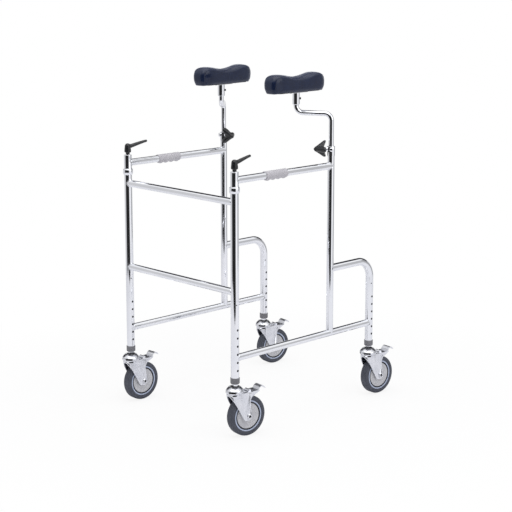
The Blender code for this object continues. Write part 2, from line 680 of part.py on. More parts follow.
def pad_cushion(name, parent):
    """An upholstered saddle: two humps with a dip between, a crowned top and drawn-in sides."""
    base = PAD_SEAT_Z + BOARD_THICKNESS + GAP

    def cover(y, share):
        """A height between the board and the top, at a distance along the pad."""
        hump = math.exp(-((abs(y) - PAD_HUMP_Y) / PAD_HUMP_SPREAD) ** 2)
        top = PAD_DIP_HEIGHT + (PAD_HUMP_HEIGHT - PAD_DIP_HEIGHT) * hump
        return base + share * (top - BOARD_THICKNESS - GAP)

    shape = bmesh.new()
    rings = []
    for scale, share in PAD_LEVELS:
        half_length = PAD_LENGTH / 2 - (1 - scale) * PAD_END_DRAW
        ring = []
        for index in range(PAD_AROUND):
            angle = 2 * math.pi * (index + 0.5) / PAD_AROUND
            across, along = math.cos(angle), math.sin(angle)
            x = PAD_WIDTH / 2 * scale * math.copysign(abs(across) ** PAD_SQUARENESS, across)
            y = half_length * math.copysign(abs(along) ** PAD_SQUARENESS, along)
            ring.append(shape.verts.new((x, y, cover(y, share))))
        rings.append(ring)
    bridge_rings(shape, rings)
    shape.faces.new(rings[0])

    top = rings[-1]
    half_round = PAD_AROUND // 2
    quarter = 3 * PAD_AROUND // 4
    right = [top[(quarter + row) % PAD_AROUND] for row in range(half_round)]
    left = [top[(quarter - 1 - row) % PAD_AROUND] for row in range(half_round)]
    ridge = [shape.verts.new((0, vertex.co.y * PAD_RIDGE, cover(vertex.co.y, 1.0))) for vertex in right]
    for row in range(half_round - 1):
        shape.faces.new((right[row], right[row + 1], ridge[row + 1], ridge[row]))
        shape.faces.new((ridge[row], ridge[row + 1], left[row + 1], left[row]))
    for row in (0, -1):
        shape.faces.new((right[row], ridge[row], left[row]))
    piece(name, shape, NAVY_VINYL, parent, sharp=60)


def arm_pad(side, crank):
    """The pad's bracket, board and cushion, which turn together on the top of the rod."""
    frame = empty(side + "_pad_axis", crank, (CRANK_LENGTH, 0, PAD_RISE[side]),
                  PAD_ANGLE[side] - CRANK_ANGLE[side])
    rest = empty(side + "_pad_middle", frame, (0, PAD_SHIFT[side], 0))
    plate_low = PAD_SEAT_Z - BRACKET_PLATE
    plate_middle = PAD_SEAT_Z - BRACKET_PLATE / 2
    sleeve_low = PAD_SEAT_Z - SLEEVE_LENGTH
    bore = ARM_ROD_RADIUS + SPIGOT_GAP
    sleeve_profile = [
        (0, plate_middle),
        (SLEEVE_RADIUS, plate_middle),
        (SLEEVE_RADIUS, sleeve_low + RING_CHAMFER),
        (SLEEVE_RADIUS - RING_CHAMFER, sleeve_low),
        (bore, sleeve_low),
        (bore, plate_low + GAP),
        (0, plate_low + GAP),
    ]
    bracket = piece(side + "_pad_bracket", turned(sleeve_profile, POST_SIDES), CHROME, frame)
    fuse(bracket, rounded_plate(BRACKET_LENGTH, BRACKET_WIDTH, plate_low, PAD_SEAT_Z - GAP, BRACKET_CORNER))
    board = rounded_plate(BOARD_LENGTH, BOARD_WIDTH, PAD_SEAT_Z, PAD_SEAT_Z + BOARD_THICKNESS, BOARD_CORNER)
    piece(side + "_pad_board", board, BLACK_BOARD, rest)
    pad_cushion(side + "_pad_cushion", rest)


def arm_support(side, parent):
    frame = empty(side + "_arm_axis", parent, (0, ARM_POST_Y, 0))
    arm_collar(side, frame)
    star_knob(side, frame)
    arm_pad(side, arm_rod(side, frame))


def leg_bushing(name, parent):
    """The plastic cap on a leg's foot. The leg stands in it and the inner tube runs through it."""
    low = LEG_FOOT_Z - BUSHING_FLANGE
    high = low + BUSHING_LENGTH
    seat = LEG_FOOT_Z - GAP
    socket = POST_RADIUS + GAP
    inner = POST_RADIUS - POST_WALL - GAP
    profile = [
        (BUSHING_RADIUS, high),
        (BUSHING_RADIUS, low + BUSHING_CHAMFER),
        (BUSHING_RADIUS - BUSHING_CHAMFER, low),
        (inner, low),
        (inner, seat),
        (socket, seat),
        (socket, high),
    ]
    return piece(name, turned(profile, POST_SIDES, closed=True), GREY_BUSH, parent)


def leg_extension(name, parent):
    """The inner tube, its plug and the caster's riveted stem."""
    foot = DOME_TOP_Z + STEM_NECK
    rivet = FORK_WEB_TOP_Z - FORK_WEB - GAP
    bore = INNER_TUBE_RADIUS - INNER_TUBE_WALL
    outside = [
        (INNER_TUBE_RADIUS, INNER_TUBE_TOP_Z),
        (INNER_TUBE_RADIUS, foot),
        (STEM_NECK_RADIUS, foot),
        (STEM_NECK_RADIUS, DOME_TOP_Z + GAP),
        (STEM_RADIUS, DOME_TOP_Z + GAP),
        (STEM_RADIUS, rivet),
        (STEM_HEAD_RADIUS, rivet),
        (STEM_HEAD_RADIUS - RING_CHAMFER, rivet - STEM_HEAD),
        (0, rivet - STEM_HEAD),
    ]
    inside = [(0, foot + INNER_PLUG), (bore, foot + INNER_PLUG), (bore, INNER_TUBE_TOP_Z)]
    return piece(name, turned(inside + outside, POST_SIDES), CHROME, parent)


def snap_button(name, parent):
    """The spring catch in the inner tube. Pressed flush with the leg's bore, it lets the leg slide."""
    tip = INNER_TUBE_RADIUS + GAP
    flange = INNER_TUBE_RADIUS - BUTTON_FLANGE_INSET
    profile = [
        (0, tip),
        (BUTTON_RADIUS * 0.7, tip - BUTTON_ROUND * 0.2),
        (BUTTON_RADIUS, tip - BUTTON_ROUND),
        (BUTTON_RADIUS, flange + BUTTON_FLANGE),
        (BUTTON_FLANGE_RADIUS, flange + BUTTON_FLANGE),
        (BUTTON_FLANGE_RADIUS, flange),
        (0, flange),
    ]
    return piece(name, turned(profile, HOLE_SIDES, axis="X", centre=(0, 0, HOLE_TOP_Z)), ZINC, parent)


def fork_plan(half_width):
    """The plan of the fork as (x, y) points: straight plates with a round front, open behind."""
    reach = FORK_FRONT - FORK_OUTER_HALF + half_width
    front = []
    for index in range(FORK_ROUND_STEPS + 1):
        angle = math.pi + math.pi * index / FORK_ROUND_STEPS
        front.append((half_width * math.cos(angle), FORK_ROUND_Y + reach * math.sin(angle)))
    return [(-half_width, FORK_BACK)] + front + [(half_width, FORK_BACK)]


def plan_solid(plan, low, high):
    """A plan outline of (x, y) points carried up from low to high."""
    shape = bmesh.new()
    rings = [[shape.verts.new((x, y, level)) for x, y in plan] for level in (low, high)]
    bridge_rings(shape, rings)
    shape.faces.new(rings[0])
    shape.faces.new(rings[1])
    return shape


def slot_block(turn, width, low, high, depth, sign, shape):
    """A slot's cutter, from a depth outwards, turned towards the front on one side."""
    turning = math.radians(-turn)
    corners = [(depth, -width / 2), (SLOT_REACH, -width / 2), (SLOT_REACH, width / 2), (depth, width / 2)]
    rings = []
    for level in (low, high):
        ring = []
        for x, y in corners:
            across = x * math.cos(turning) - y * math.sin(turning)
            along = x * math.sin(turning) + y * math.cos(turning)
            ring.append(shape.verts.new((sign * across, along, level)))
        rings.append(ring)
    bridge_rings(shape, rings)
    shape.faces.new(rings[0])
    shape.faces.new(rings[1])


def caster_fork(name, parent):
    """The pressed fork: a domed head, a round skirt running into two tapered plates, axle and pin."""
    web_top = FORK_WEB_TOP_Z
    front = FORK_ROUND_Y - FORK_FRONT - 0.0030
    side_view = [
        (front, web_top, 0.0),
        (front, web_top - 0.0012, 0.0),
        (FORK_ROUND_Y - FORK_FRONT, web_top - 0.0012, 0.0),
        (TRAIL - 0.0170, FORK_FOOT_Z, 0.0120),
        (TRAIL + 0.0120, FORK_FOOT_Z, 0.0120),
        (TRAIL + 0.0025, web_top - 0.0280, 0.0200),
        (TRAIL + 0.0105, web_top - 0.0140, 0.0060),
        (TRAIL + 0.0130, web_top - 0.0060, 0.0),
        (TRAIL + 0.0115, web_top, 0.0040),
        (TRAIL - 0.0120, web_top, 0.0),
    ]
    outline = filleted([(y, z, 0) for y, z, radius in side_view], [radius for y, z, radius in side_view], 2,
                       closed=True)
    low = FORK_FOOT_Z - FORK_PLATE
    fork = piece(name, plan_solid(fork_plan(FORK_OUTER_HALF), low, web_top + FORK_PLATE), ZINC, parent)
    reach = FORK_OUTER_HALF + FORK_PLATE
    tool(fork, extruded([(point.x, point.y) for point in outline], -reach, reach), "INTERSECT")
    cut(fork, plan_solid(fork_plan(FORK_INNER_HALF), low - FORK_PLATE, web_top - FORK_WEB))
    cut(fork, block((-FORK_INNER_HALF, WEB_BACK_Y, low),
                    (FORK_INNER_HALF, FORK_BACK + FORK_PLATE, web_top + FORK_PLATE)))
    root = web_top - 0.0012
    dome = [
        (0, DOME_TOP_Z),
        (DOME_PLATEAU, DOME_TOP_Z),
        (DOME_RADIUS - 0.0025, DOME_TOP_Z - 0.0065),
        (DOME_RADIUS, DOME_TOP_Z - 0.0105),
        (DOME_RADIUS, DOME_TOP_Z - 0.0175),
        (DOME_RADIUS - 0.0045, root),
        (0, root),
    ]
    fuse(fork, turned(dome, POST_SIDES, centre=(0, DOME_SHIFT, 0)))
    head = FORK_OUTER_HALF + AXLE_HEAD
    seat = FORK_OUTER_HALF - 0.0005
    axle = [
        (0, head), (AXLE_HEAD_RADIUS - RING_CHAMFER, head), (AXLE_HEAD_RADIUS, seat), (AXLE_RADIUS, seat),
        (AXLE_RADIUS, -seat), (AXLE_HEAD_RADIUS, -seat), (AXLE_HEAD_RADIUS - RING_CHAMFER, -head), (0, -head)]
    fuse(fork, turned(axle, SMALL_SIDES, axis="X", centre=(0, TRAIL, WHEEL_RADIUS)))
    pin_end = FORK_OUTER_HALF + RING_CHAMFER
    pin = [(-pin_end, PEDAL_PIVOT_Y, PEDAL_PIVOT_Z), (pin_end, PEDAL_PIVOT_Y, PEDAL_PIVOT_Z)]
    fuse(fork, swept(pin, PEDAL_PIN_RADIUS, HOLE_SIDES, across=(0, 0, 1)))
    cut(fork, upright(STEM_RADIUS + SPIGOT_GAP, web_top - 2 * FORK_WEB, DOME_TOP_Z + FORK_WEB, ARM_ROD_SIDES))
    slots = bmesh.new()
    for sign in SIDES.values():
        slot_block(*DOME_SLOT, sign, slots)
        slot_block(*SKIRT_SLOT, sign, slots)
    cut(fork, slots)


def wheel(place, parent):
    """A soft tyre on a moulded hub. The hub has an outer ring, a groove and a flat disc."""
    centre = (0, TRAIL, WHEEL_RADIUS)
    flat = math.cos(math.pi / WHEEL_SIDES)
    tread = WHEEL_RADIUS / flat
    half = WHEEL_HALF_WIDTH
    section = [
        (TYRE_BORE, half - 0.0010), (TYRE_BORE + 0.0060, half),
        (tread - TREAD_SHOULDER, half - 0.0025), (tread, TREAD_HALF_WIDTH)]
    tyre = section + [(radius, -x) for radius, x in reversed(section)]
    tyre = turned(tyre, WHEEL_SIDES, axis="X", centre=centre, closed=True)
    piece(place + "_tyre", tyre, TYRE_RUBBER, parent)

    rim = TYRE_BORE * flat - GAP
    bore = AXLE_RADIUS + SPIGOT_GAP
    face = half - HUB_FACE_INSET
    disc = face - HUB_DISC_INSET
    section = [
        (bore, HUB_BOSS_HALF), (HUB_BOSS_RADIUS, HUB_BOSS_HALF), (HUB_BOSS_RADIUS + 0.0010, disc),
        (HUB_DISC_RADIUS, disc), (HUB_DISC_RADIUS + 0.0005, HUB_WEB_HALF),
        (HUB_GROOVE_RADIUS - 0.0005, HUB_WEB_HALF), (HUB_GROOVE_RADIUS, face), (rim, face - 0.0005)]
    mirrored = [(radius, -x) for radius, x in reversed(section)]
    hub = turned(section + mirrored, HUB_SIDES, axis="X", centre=centre, closed=True)
    piece(place + "_wheel_hub", hub, HUB_PLASTIC, parent)


def thick_strip(path, thickness):
    """The outline of a bent strip of even thickness, from its middle line of (y, z) points."""
    above, below = [], []
    for index, point in enumerate(path):
        ahead = path[min(index + 1, len(path) - 1)] - path[max(index - 1, 0)]
        beside = Vector((-ahead.y, ahead.x, 0)).normalized() * (thickness / 2)
        above.append(point + beside)
        below.append(point - beside)
    return [(point.x, point.y) for point in above + below[::-1]]


def brake_pedal(name, parent):
    """A pressed pedal: a hub and cheeks on the fork's pin, a cam, a brake shoe and a curled toe plate."""
    frame = empty(name + "_axis", parent, (0, PEDAL_PIVOT_Y, PEDAL_PIVOT_Z))
    half = FORK_INNER_HALF - PEDAL_SIDE_GAP
    hub = swept([(-half, 0, 0), (half, 0, 0)], PEDAL_HUB_RADIUS, SMALL_SIDES, across=(0, 0, 1))
    pedal = piece(name, hub, ZINC, frame)
    top = thick_strip([Vector((y, z, 0)) for y, z in PEDAL_TOP], PEDAL_PLATE)
    fuse(pedal, extruded(top, -half, half))
    toe = filleted([(y, z, 0) for y, z in PEDAL_TOE], 0.0060, 2)
    fuse(pedal, extruded(thick_strip(toe, PEDAL_PLATE), -PEDAL_TOE_HALF, PEDAL_TOE_HALF))
    cheeks = bmesh.new()
    for sign in SIDES.values():
        near, far = sorted((sign * (half - PEDAL_CHEEK), sign * half))
        extruded(PEDAL_CHEEK_OUTLINE, near, far, cheeks)
    fuse(pedal, cheeks)
    fuse(pedal, extruded(PEDAL_SHOE, -PEDAL_SHOE_HALF, PEDAL_SHOE_HALF))
    cam = [(-PEDAL_CAM_HALF, *PEDAL_CAM), (PEDAL_CAM_HALF, *PEDAL_CAM)]
    fuse(pedal, swept(cam, PEDAL_CAM_RADIUS, SMALL_SIDES, across=(0, 0, 1)))
    pin = [(-2 * half, 0, 0), (2 * half, 0, 0)]
    cut(pedal, swept(pin, PEDAL_PIN_RADIUS + PEDAL_PIN_GAP, HOLE_SIDES, across=(0, 0, 1)))


def leg(side, end, y, parent):
    """Everything below one leg tube."""
    place = side + "_" + end
    frame = empty(place + "_leg", parent, (0, y, 0))
    leg_bushing(place + "_leg_bushing", frame)
    tube = leg_extension(place + "_leg_extension", frame)
    hole = [(INNER_TUBE_RADIUS / 2, 0, HOLE_TOP_Z), (INNER_TUBE_RADIUS * 1.3, 0, HOLE_TOP_Z)]
    cut(tube, swept(hole, HOLE_RADIUS, HOLE_SIDES, across=(0, 0, 1)))
    snap_button(place + "_snap_button", frame)
    caster = empty(place + "_caster", frame, turn=CASTER_ANGLE[side, end])
    caster_fork(place + "_caster_fork", caster)
    wheel(place, caster)
    brake_pedal(place + "_brake_pedal", caster)


def side_frame(side, root):
    frame = empty(side + "_side_frame", root, (SIDES[side] * FRAME_WIDTH / 2, 0, 0))
    side_tubes(side, frame)
    arm_support(side, frame)
    leg(side, "front", 0, frame)
    leg(side, "rear", REAR_LEG_Y, frame)


def centre_on_floor(root):
    """Moves the walker so that the middle of its footprint is the origin."""
    bpy.context.view_layer.update()
    corners = [
        thing.matrix_world @ Vector(corner)
        for thing in bpy.data.objects if thing.type == "MESH" and not thing.hide_render
        for corner in thing.bound_box]
    root.location.x = -(min(c.x for c in corners) + max(c.x for c in corners)) / 2
    root.location.y = -(min(c.y for c in corners) + max(c.y for c in corners)) / 2


def build():
    clear_scene()
    root = empty("walker", None)
    front_frame(root)
    for side in SIDES:
        side_frame(side, root)
    centre_on_floor(root)
    even_shading()


build()
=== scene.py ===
"""Underarm walker: materials, soft pads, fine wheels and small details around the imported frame.

Metres, +Z up. The left side of the walker, seen by its user, is at +X, and the front at -Y.
"""

from math import atan2, cos, degrees, exp, pi, radians, sin, sqrt

import bmesh
import bpy
import numpy as np
from mathutils import Matrix, Vector, noise
from mathutils.bvhtree import BVHTree


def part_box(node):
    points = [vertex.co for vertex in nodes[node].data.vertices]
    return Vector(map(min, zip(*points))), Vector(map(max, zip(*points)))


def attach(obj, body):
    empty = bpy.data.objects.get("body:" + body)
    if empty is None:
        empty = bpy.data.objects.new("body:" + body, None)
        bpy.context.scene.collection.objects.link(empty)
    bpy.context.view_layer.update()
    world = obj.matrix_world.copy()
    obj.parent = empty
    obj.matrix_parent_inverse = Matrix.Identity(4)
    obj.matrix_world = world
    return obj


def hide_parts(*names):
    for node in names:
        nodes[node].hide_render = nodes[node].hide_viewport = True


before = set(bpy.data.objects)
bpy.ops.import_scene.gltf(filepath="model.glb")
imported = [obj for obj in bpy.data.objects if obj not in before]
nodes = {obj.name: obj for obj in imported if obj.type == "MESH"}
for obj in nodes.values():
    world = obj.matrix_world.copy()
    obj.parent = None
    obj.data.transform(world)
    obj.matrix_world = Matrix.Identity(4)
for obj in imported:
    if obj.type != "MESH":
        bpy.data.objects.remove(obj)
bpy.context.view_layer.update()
scene = bpy.context.scene
scene.view_settings.view_transform = "Standard"

SIDES = ("left", "right")
PLACES = [side + "_" + end for side in SIDES for end in ("front", "rear")]
CROSSBARS = ("upper_crossbar", "lower_crossbar")
# bearings in degrees from +X
CASTER_ANGLE = {"left_front": -9.0, "right_front": -1.0, "left_rear": -4.0, "right_rear": -8.0}
PAD_ANGLE = {"left": 0.8, "right": 4.2}
KNOB_ANGLE = {"left": 225.0, "right": -8.0}
LEVER_ANGLE = {"left": 90.0, "right": 70.0}
CRANK_ANGLE = {"left": 206.5, "right": -46.5}
SCREW_ANGLE, RIVET_ANGLE = 38.0, -18.0

ROUND = 48
POST_RADIUS, RAIL_RADIUS, ROD_RADIUS = 0.0125, 0.011, 0.008
ARM_POST_RADIUS, ARM_POST_BORE, LEG_BORE = 0.011, 0.0097, 0.011
COLLAR_RADIUS = POST_RADIUS + 0.0033
POST_TOP_Z, COLLAR_BASE_Z, LOWER_SEAM_Z = 0.808, 0.745, 0.422
ARM_POST_TOP_Z, KNOB_Z, CRANK_LENGTH = 0.8145, 0.835, 0.115
REAR_TUBE_Z, REAR_BEND = 0.456, 0.057
WHEEL_RADIUS, CASTER_TRAIL = 0.0625, 0.039
DOME_TOP_Z, DOME_SHIFT = 2 * WHEEL_RADIUS + 0.0335, 0.0015
LEG_FOOT_Z = DOME_TOP_Z + 0.0143
HOLE_PITCH, HOLE_RADIUS = 0.025, 0.0036
HOLE_LEVELS = [LEG_FOOT_Z + 0.1612 - number * HOLE_PITCH for number in range(6)]
HOLLOW_FLOOR, HOLLOW_RADIUS = 0.0212, 0.0045
SEAT_DEPTH, GAP = 0.0002, 0.0003


# ---- places and directions
def toward(bearing):
    """The level direction at a bearing in degrees."""
    angle = radians(bearing)
    return Vector((cos(angle), sin(angle), 0))


def left_of(direction):
    """The level direction a quarter turn to the left of another."""
    return Vector((-direction.y, direction.x, 0))


def at_level(place, z):
    return Vector((place.x, place.y, z))


def centre(node):
    low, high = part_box(node)
    return (low + high) / 2


def upright_at(place, z=0.0, bearing=0.0):
    """A matrix that turns about Z and then moves to a place's x and y, at a height."""
    return Matrix.Translation((place.x, place.y, z)) @ Matrix.Rotation(radians(bearing), 4, "Z")


def pointing(place, direction):
    """A matrix whose Z axis points in a direction from a place."""
    turn = Vector(direction).normalized().to_track_quat("Z", "Y").to_matrix().to_4x4()
    return Matrix.Translation(place) @ turn


def around(count):
    """Angles at even steps round a circle."""
    return [2 * pi * number / count for number in range(count)]


def circle(radius, count):
    return [(radius * cos(angle), radius * sin(angle)) for angle in around(count)]


def caster_of(place):
    """A caster's stem on the floor, its axle's middle, the axle's direction and the one from the stem to it."""
    stem = at_level(centre(place + "_leg_extension"), 0)
    across = toward(CASTER_ANGLE[place])
    along = left_of(across)
    return stem, stem + along * CASTER_TRAIL + Vector((0, 0, WHEEL_RADIUS)), across, along


POST = {side: centre(side + "_hinge_tube") for side in SIDES}
ARM = {side: centre(side + "_arm_post") for side in SIDES}
REAR = {side: centre(side + "_rear_leg_bushing") for side in SIDES}
PAD_AXIS = {side: ARM[side] + CRANK_LENGTH * toward(CRANK_ANGLE[side]) for side in SIDES}


def linked(name, data):
    """An object in the scene, made from its data."""
    made = bpy.data.objects.new(name, data)
    scene.collection.objects.link(made)
    return made


def mesh_of(shape, name):
    """A mesh made from a bmesh, which is freed."""
    mesh = bpy.data.meshes.new(name)
    shape.to_mesh(mesh)
    shape.free()
    return mesh


# ---- camera
CAMERA_YAW, CAMERA_PITCH, CAMERA_FOCAL, CAMERA_SHIFT = 0.79945, 0.18482, 1421.69, -0.08
CAMERA_PLACE = Vector((3.22018, -2.80539, 1.44469))
IMAGE_SIDE, SENSOR = 512.0, 36.0


def add_camera():
    right = Vector((cos(CAMERA_YAW), sin(CAMERA_YAW), 0))
    ahead = left_of(right) * cos(CAMERA_PITCH) - Vector((0, 0, 1)) * sin(CAMERA_PITCH)
    up = right.cross(ahead)
    data = bpy.data.cameras.new("camera")
    data.sensor_width = SENSOR
    data.lens = CAMERA_FOCAL / IMAGE_SIDE * SENSOR
    data.shift_y = CAMERA_SHIFT
    origin = Vector(((POST["left"].x + POST["right"].x) / 2, POST["left"].y, 0))
    turn = Matrix((right, up, -ahead)).transposed().to_4x4()
    scene.camera = linked("camera", data)
    scene.camera.matrix_world = Matrix.Translation(origin + CAMERA_PLACE) @ turn


# ---- node helpers
def linear(*display):
    """A display colour of 0 to 255 as the shader's linear values."""
    parts = [value / 255.0 for value in display]
    return (*(part / 12.92 if part <= 0.04045 else ((part + 0.055) / 1.055) ** 2.4 for part in parts), 1.0)


def give(thing, settings):
    for name, value in settings.items():
        setattr(thing, name, value)


class Graph:
    """A node tree, with one call for each kind of node."""

    def __init__(self, tree):
        self.tree = tree

    def put(self, target, value):
        """Links a socket to an input, or sets the input to a constant."""
        if isinstance(value, bpy.types.NodeSocket):
            self.tree.links.new(value, target)
        else:
            target.default_value = value

    def add(self, kind, inputs=None, **settings):
        node = self.tree.nodes.new("ShaderNode" + kind)
        give(node, settings)
        for key, value in (inputs or {}).items():
            self.put(node.inputs[key], value)
        return node

    def math(self, operation, first, second=0.0):
        return self.add("Math", {0: first, 1: second}, operation=operation).outputs[0]

    def vector(self, operation, inputs, out=0):
        return self.add("VectorMath", inputs, operation=operation).outputs[out]

    def coordinates(self):
        return self.add("TexCoord").outputs["Object"]

    def mapped(self, vector, scale):
        return self.add("Mapping", {"Vector": vector, "Scale": scale}).outputs["Vector"]

    def noise(self, vector, scale, detail=3.0, rough=0.5, out="Fac"):
        inputs = {"Vector": vector, "Scale": scale, "Detail": detail, "Roughness": rough}
        return self.add("TexNoise", inputs).outputs[out]

    def cells(self, vector, scale, feature="F1"):
        inputs = {"Vector": vector, "Scale": scale}
        return self.add("TexVoronoi", inputs, feature=feature).outputs["Distance"]

    def ranged(self, value, low, high, new_low, new_high, way="LINEAR"):
        inputs = {"Value": value, "From Min": low, "From Max": high, "To Min": new_low, "To Max": new_high}
        return self.add("MapRange", inputs, interpolation_type=way).outputs["Result"]

    def step(self, value, low, high, new_low=0.0, new_high=1.0):
        return self.ranged(value, low, high, new_low, new_high, "SMOOTHSTEP")

    def blend(self, share, first, second, way="MIX"):
        inputs = {0: share, 6: first, 7: second}
        return self.add("Mix", inputs, data_type="RGBA", blend_type=way).outputs[2]

    def mottled(self, cloud, first, second, edge=0.3):
        """A slow change between two display colours."""
        return self.blend(self.ranged(cloud, edge, 1 - edge, 0.0, 1.0), linear(*first), linear(*second))

    def mixed(self, share, first, second):
        return self.add("MixShader", {0: share, 1: first, 2: second}).outputs[0]

    def bump(self, height, strength, distance, below=None):
        inputs = {"Strength": strength, "Distance": distance, "Height": height}
        if below is not None:
            inputs["Normal"] = below
        return self.add("Bump", inputs).outputs["Normal"]

    def surface(self, colour, rough, normal):
        """Links what varies over a surface to its shader."""
        shader = self.tree.nodes["Principled BSDF"]
        for name, value in (("Base Color", colour), ("Roughness", rough), ("Normal", normal)):
            self.put(shader.inputs[name], value)


def new_material(name, constants):
    """A material and its graph, with some of its shader's sockets set to constants."""
    made = bpy.data.materials.new(name)
    made.use_nodes = True
    shader = made.node_tree.nodes["Principled BSDF"]
    for key, value in constants.items():
        shader.inputs[key].default_value = value
    return made, Graph(made.node_tree)


# ---- materials
WHITE = (1.0, 1.0, 1.0, 1.0)
# the level direction from the walker to the photograph's camera
FRONT = (0.716, -0.698, 0.0)


def chrome():
    """Polished plating: near-mirror, with faint polishing lines and a very slight waviness."""
    made, graph = new_material("polished_chrome", {"Metallic": 1.0})
    place = graph.coordinates()
    cloud = graph.noise(place, 9.0, 4.0)
    lines = graph.noise(graph.mapped(place, (900.0, 900.0, 60.0)), 1.0, 2.0)
    rough = graph.math("ADD", graph.ranged(cloud, 0.3, 0.7, 0.04, 0.065),
            graph.ranged(lines, 0.4, 0.8, 0.0, 0.015))
    wave = graph.bump(graph.noise(place, 20.0, 1.0), 0.012, 0.001)
    graph.surface(graph.mottled(cloud, (243, 244, 248), (234, 236, 241)), rough, wave)
    return made


def zinc():
    """Bright zinc plate on pressed steel: softer than chrome, with a faint cloudy grain."""
    made, graph = new_material("bright_zinc", {"Metallic": 1.0})
    place = graph.coordinates()
    cloud = graph.noise(place, 55.0, 5.0, 0.6)
    soft = graph.bump(cloud, 0.06, 0.002)
    grain = graph.bump(graph.noise(place, 900.0, 2.0), 0.05, 0.0003, soft)
    graph.surface(graph.mottled(cloud, (232, 233, 238), (214, 216, 223)),
            graph.ranged(cloud, 0.3, 0.7, 0.17, 0.3), grain)
    return made


def plastic(name, base, other, rough, grain_scale=1400.0, grain=0.12, constants=None):
    """Moulded plastic: a fine sparked grain, and a slow change of tone and gloss."""
    made, graph = new_material(name, constants or {})
    place = graph.coordinates()
    cloud = graph.noise(place, 38.0, 4.0)
    fine = graph.noise(place, grain_scale, 3.0, 0.6)
    graph.surface(graph.mottled(cloud, base, other),
            graph.ranged(cloud, 0.3, 0.7, rough - 0.05, rough + 0.06), graph.bump(fine, grain, 0.0004))
    return made


def leather():
    """Soft navy cover: pebbled grain with painted shade between the pebbles, fine creases, a slow change of
    tone and gloss.
    """
    made, graph = new_material("navy_leathercloth", {
        "Coat Weight": 0.5, "Coat Roughness": 0.12, "Coat Tint": (0.9, 0.9, 1.0, 1.0),
        "Sheen Weight": 0.7, "Sheen Roughness": 0.34, "Sheen Tint": (0.8, 0.84, 1.0, 1.0),
        "Specular IOR Level": 0.14, "Specular Tint": (0.8, 0.86, 1.0, 1.0)})
    place = graph.coordinates()
    shift = graph.vector("SCALE", {0: graph.noise(place, 260.0, 2.0, out="Color"), "Scale": 0.0016})
    warped = graph.vector("ADD", {0: place, 1: shift})
    pebbles = graph.cells(warped, 620.0)
    groove_shade = graph.cells(warped, 620.0, "DISTANCE_TO_EDGE")
    cloud = graph.noise(place, 30.0, 4.0)
    fine = graph.noise(place, 2400.0, 2.0)
    crease = graph.noise(graph.mapped(place, (40.0, 110.0, 60.0)), 1.0, 5.0, 0.62)
    tone = graph.mottled(cloud, (13, 24, 50), (18, 31, 59), 0.32)
    # the colour is darkened between the pebbles: painted shade
    colour = graph.blend(1.0, tone, graph.ranged(groove_shade, 0.0, 0.16, 0.86, 1.0), "MULTIPLY")
    folds = graph.bump(crease, 0.12, 0.0016)
    grain = graph.bump(graph.ranged(pebbles, 0.0, 0.7, 1.0, 0.0), 0.16, 0.00025, folds)
    graph.surface(colour, graph.ranged(cloud, 0.3, 0.7, 0.36, 0.45), graph.bump(fine, 0.04, 0.0001, grain))
    return made


def floor_material():
    """Pale floor. It keeps the shadow, and its far parts are open to mirror-like surfaces."""
    made, graph = new_material("studio_floor", {})
    graph.tree.nodes.remove(graph.tree.nodes["Principled BSDF"])
    rays = graph.add("LightPath").outputs
    pale = graph.blend(rays["Is Camera Ray"], (0.92, 0.92, 0.94, 1.0), (0.97, 0.97, 0.97, 1.0))
    diffuse = graph.add("BsdfDiffuse", {"Color": pale}).outputs[0]
    white = graph.add("Emission", {"Color": WHITE, "Strength": 1.0}).outputs[0]
    clear = graph.add("BsdfTransparent").outputs[0]
    place = graph.add("NewGeometry").outputs["Position"]
    apart = graph.vector("LENGTH", {0: place}, "Value")
    ahead = graph.vector("DOT_PRODUCT", {0: place, 1: FRONT}, "Value")
    share = graph.step(apart, 0.55, 1.3, 0.86, 1.0)
    beyond = graph.math("MAXIMUM", graph.step(apart, 2.15, 2.4), graph.step(ahead, 1.68, 1.86))
    seen = graph.mixed(graph.math("MULTIPLY", rays["Is Camera Ray"], share), diffuse, white)
    whole = graph.mixed(graph.math("MULTIPLY", rays["Is Glossy Ray"], beyond), seen, clear)
    graph.put(graph.tree.nodes["Material Output"].inputs["Surface"], whole)
    return made


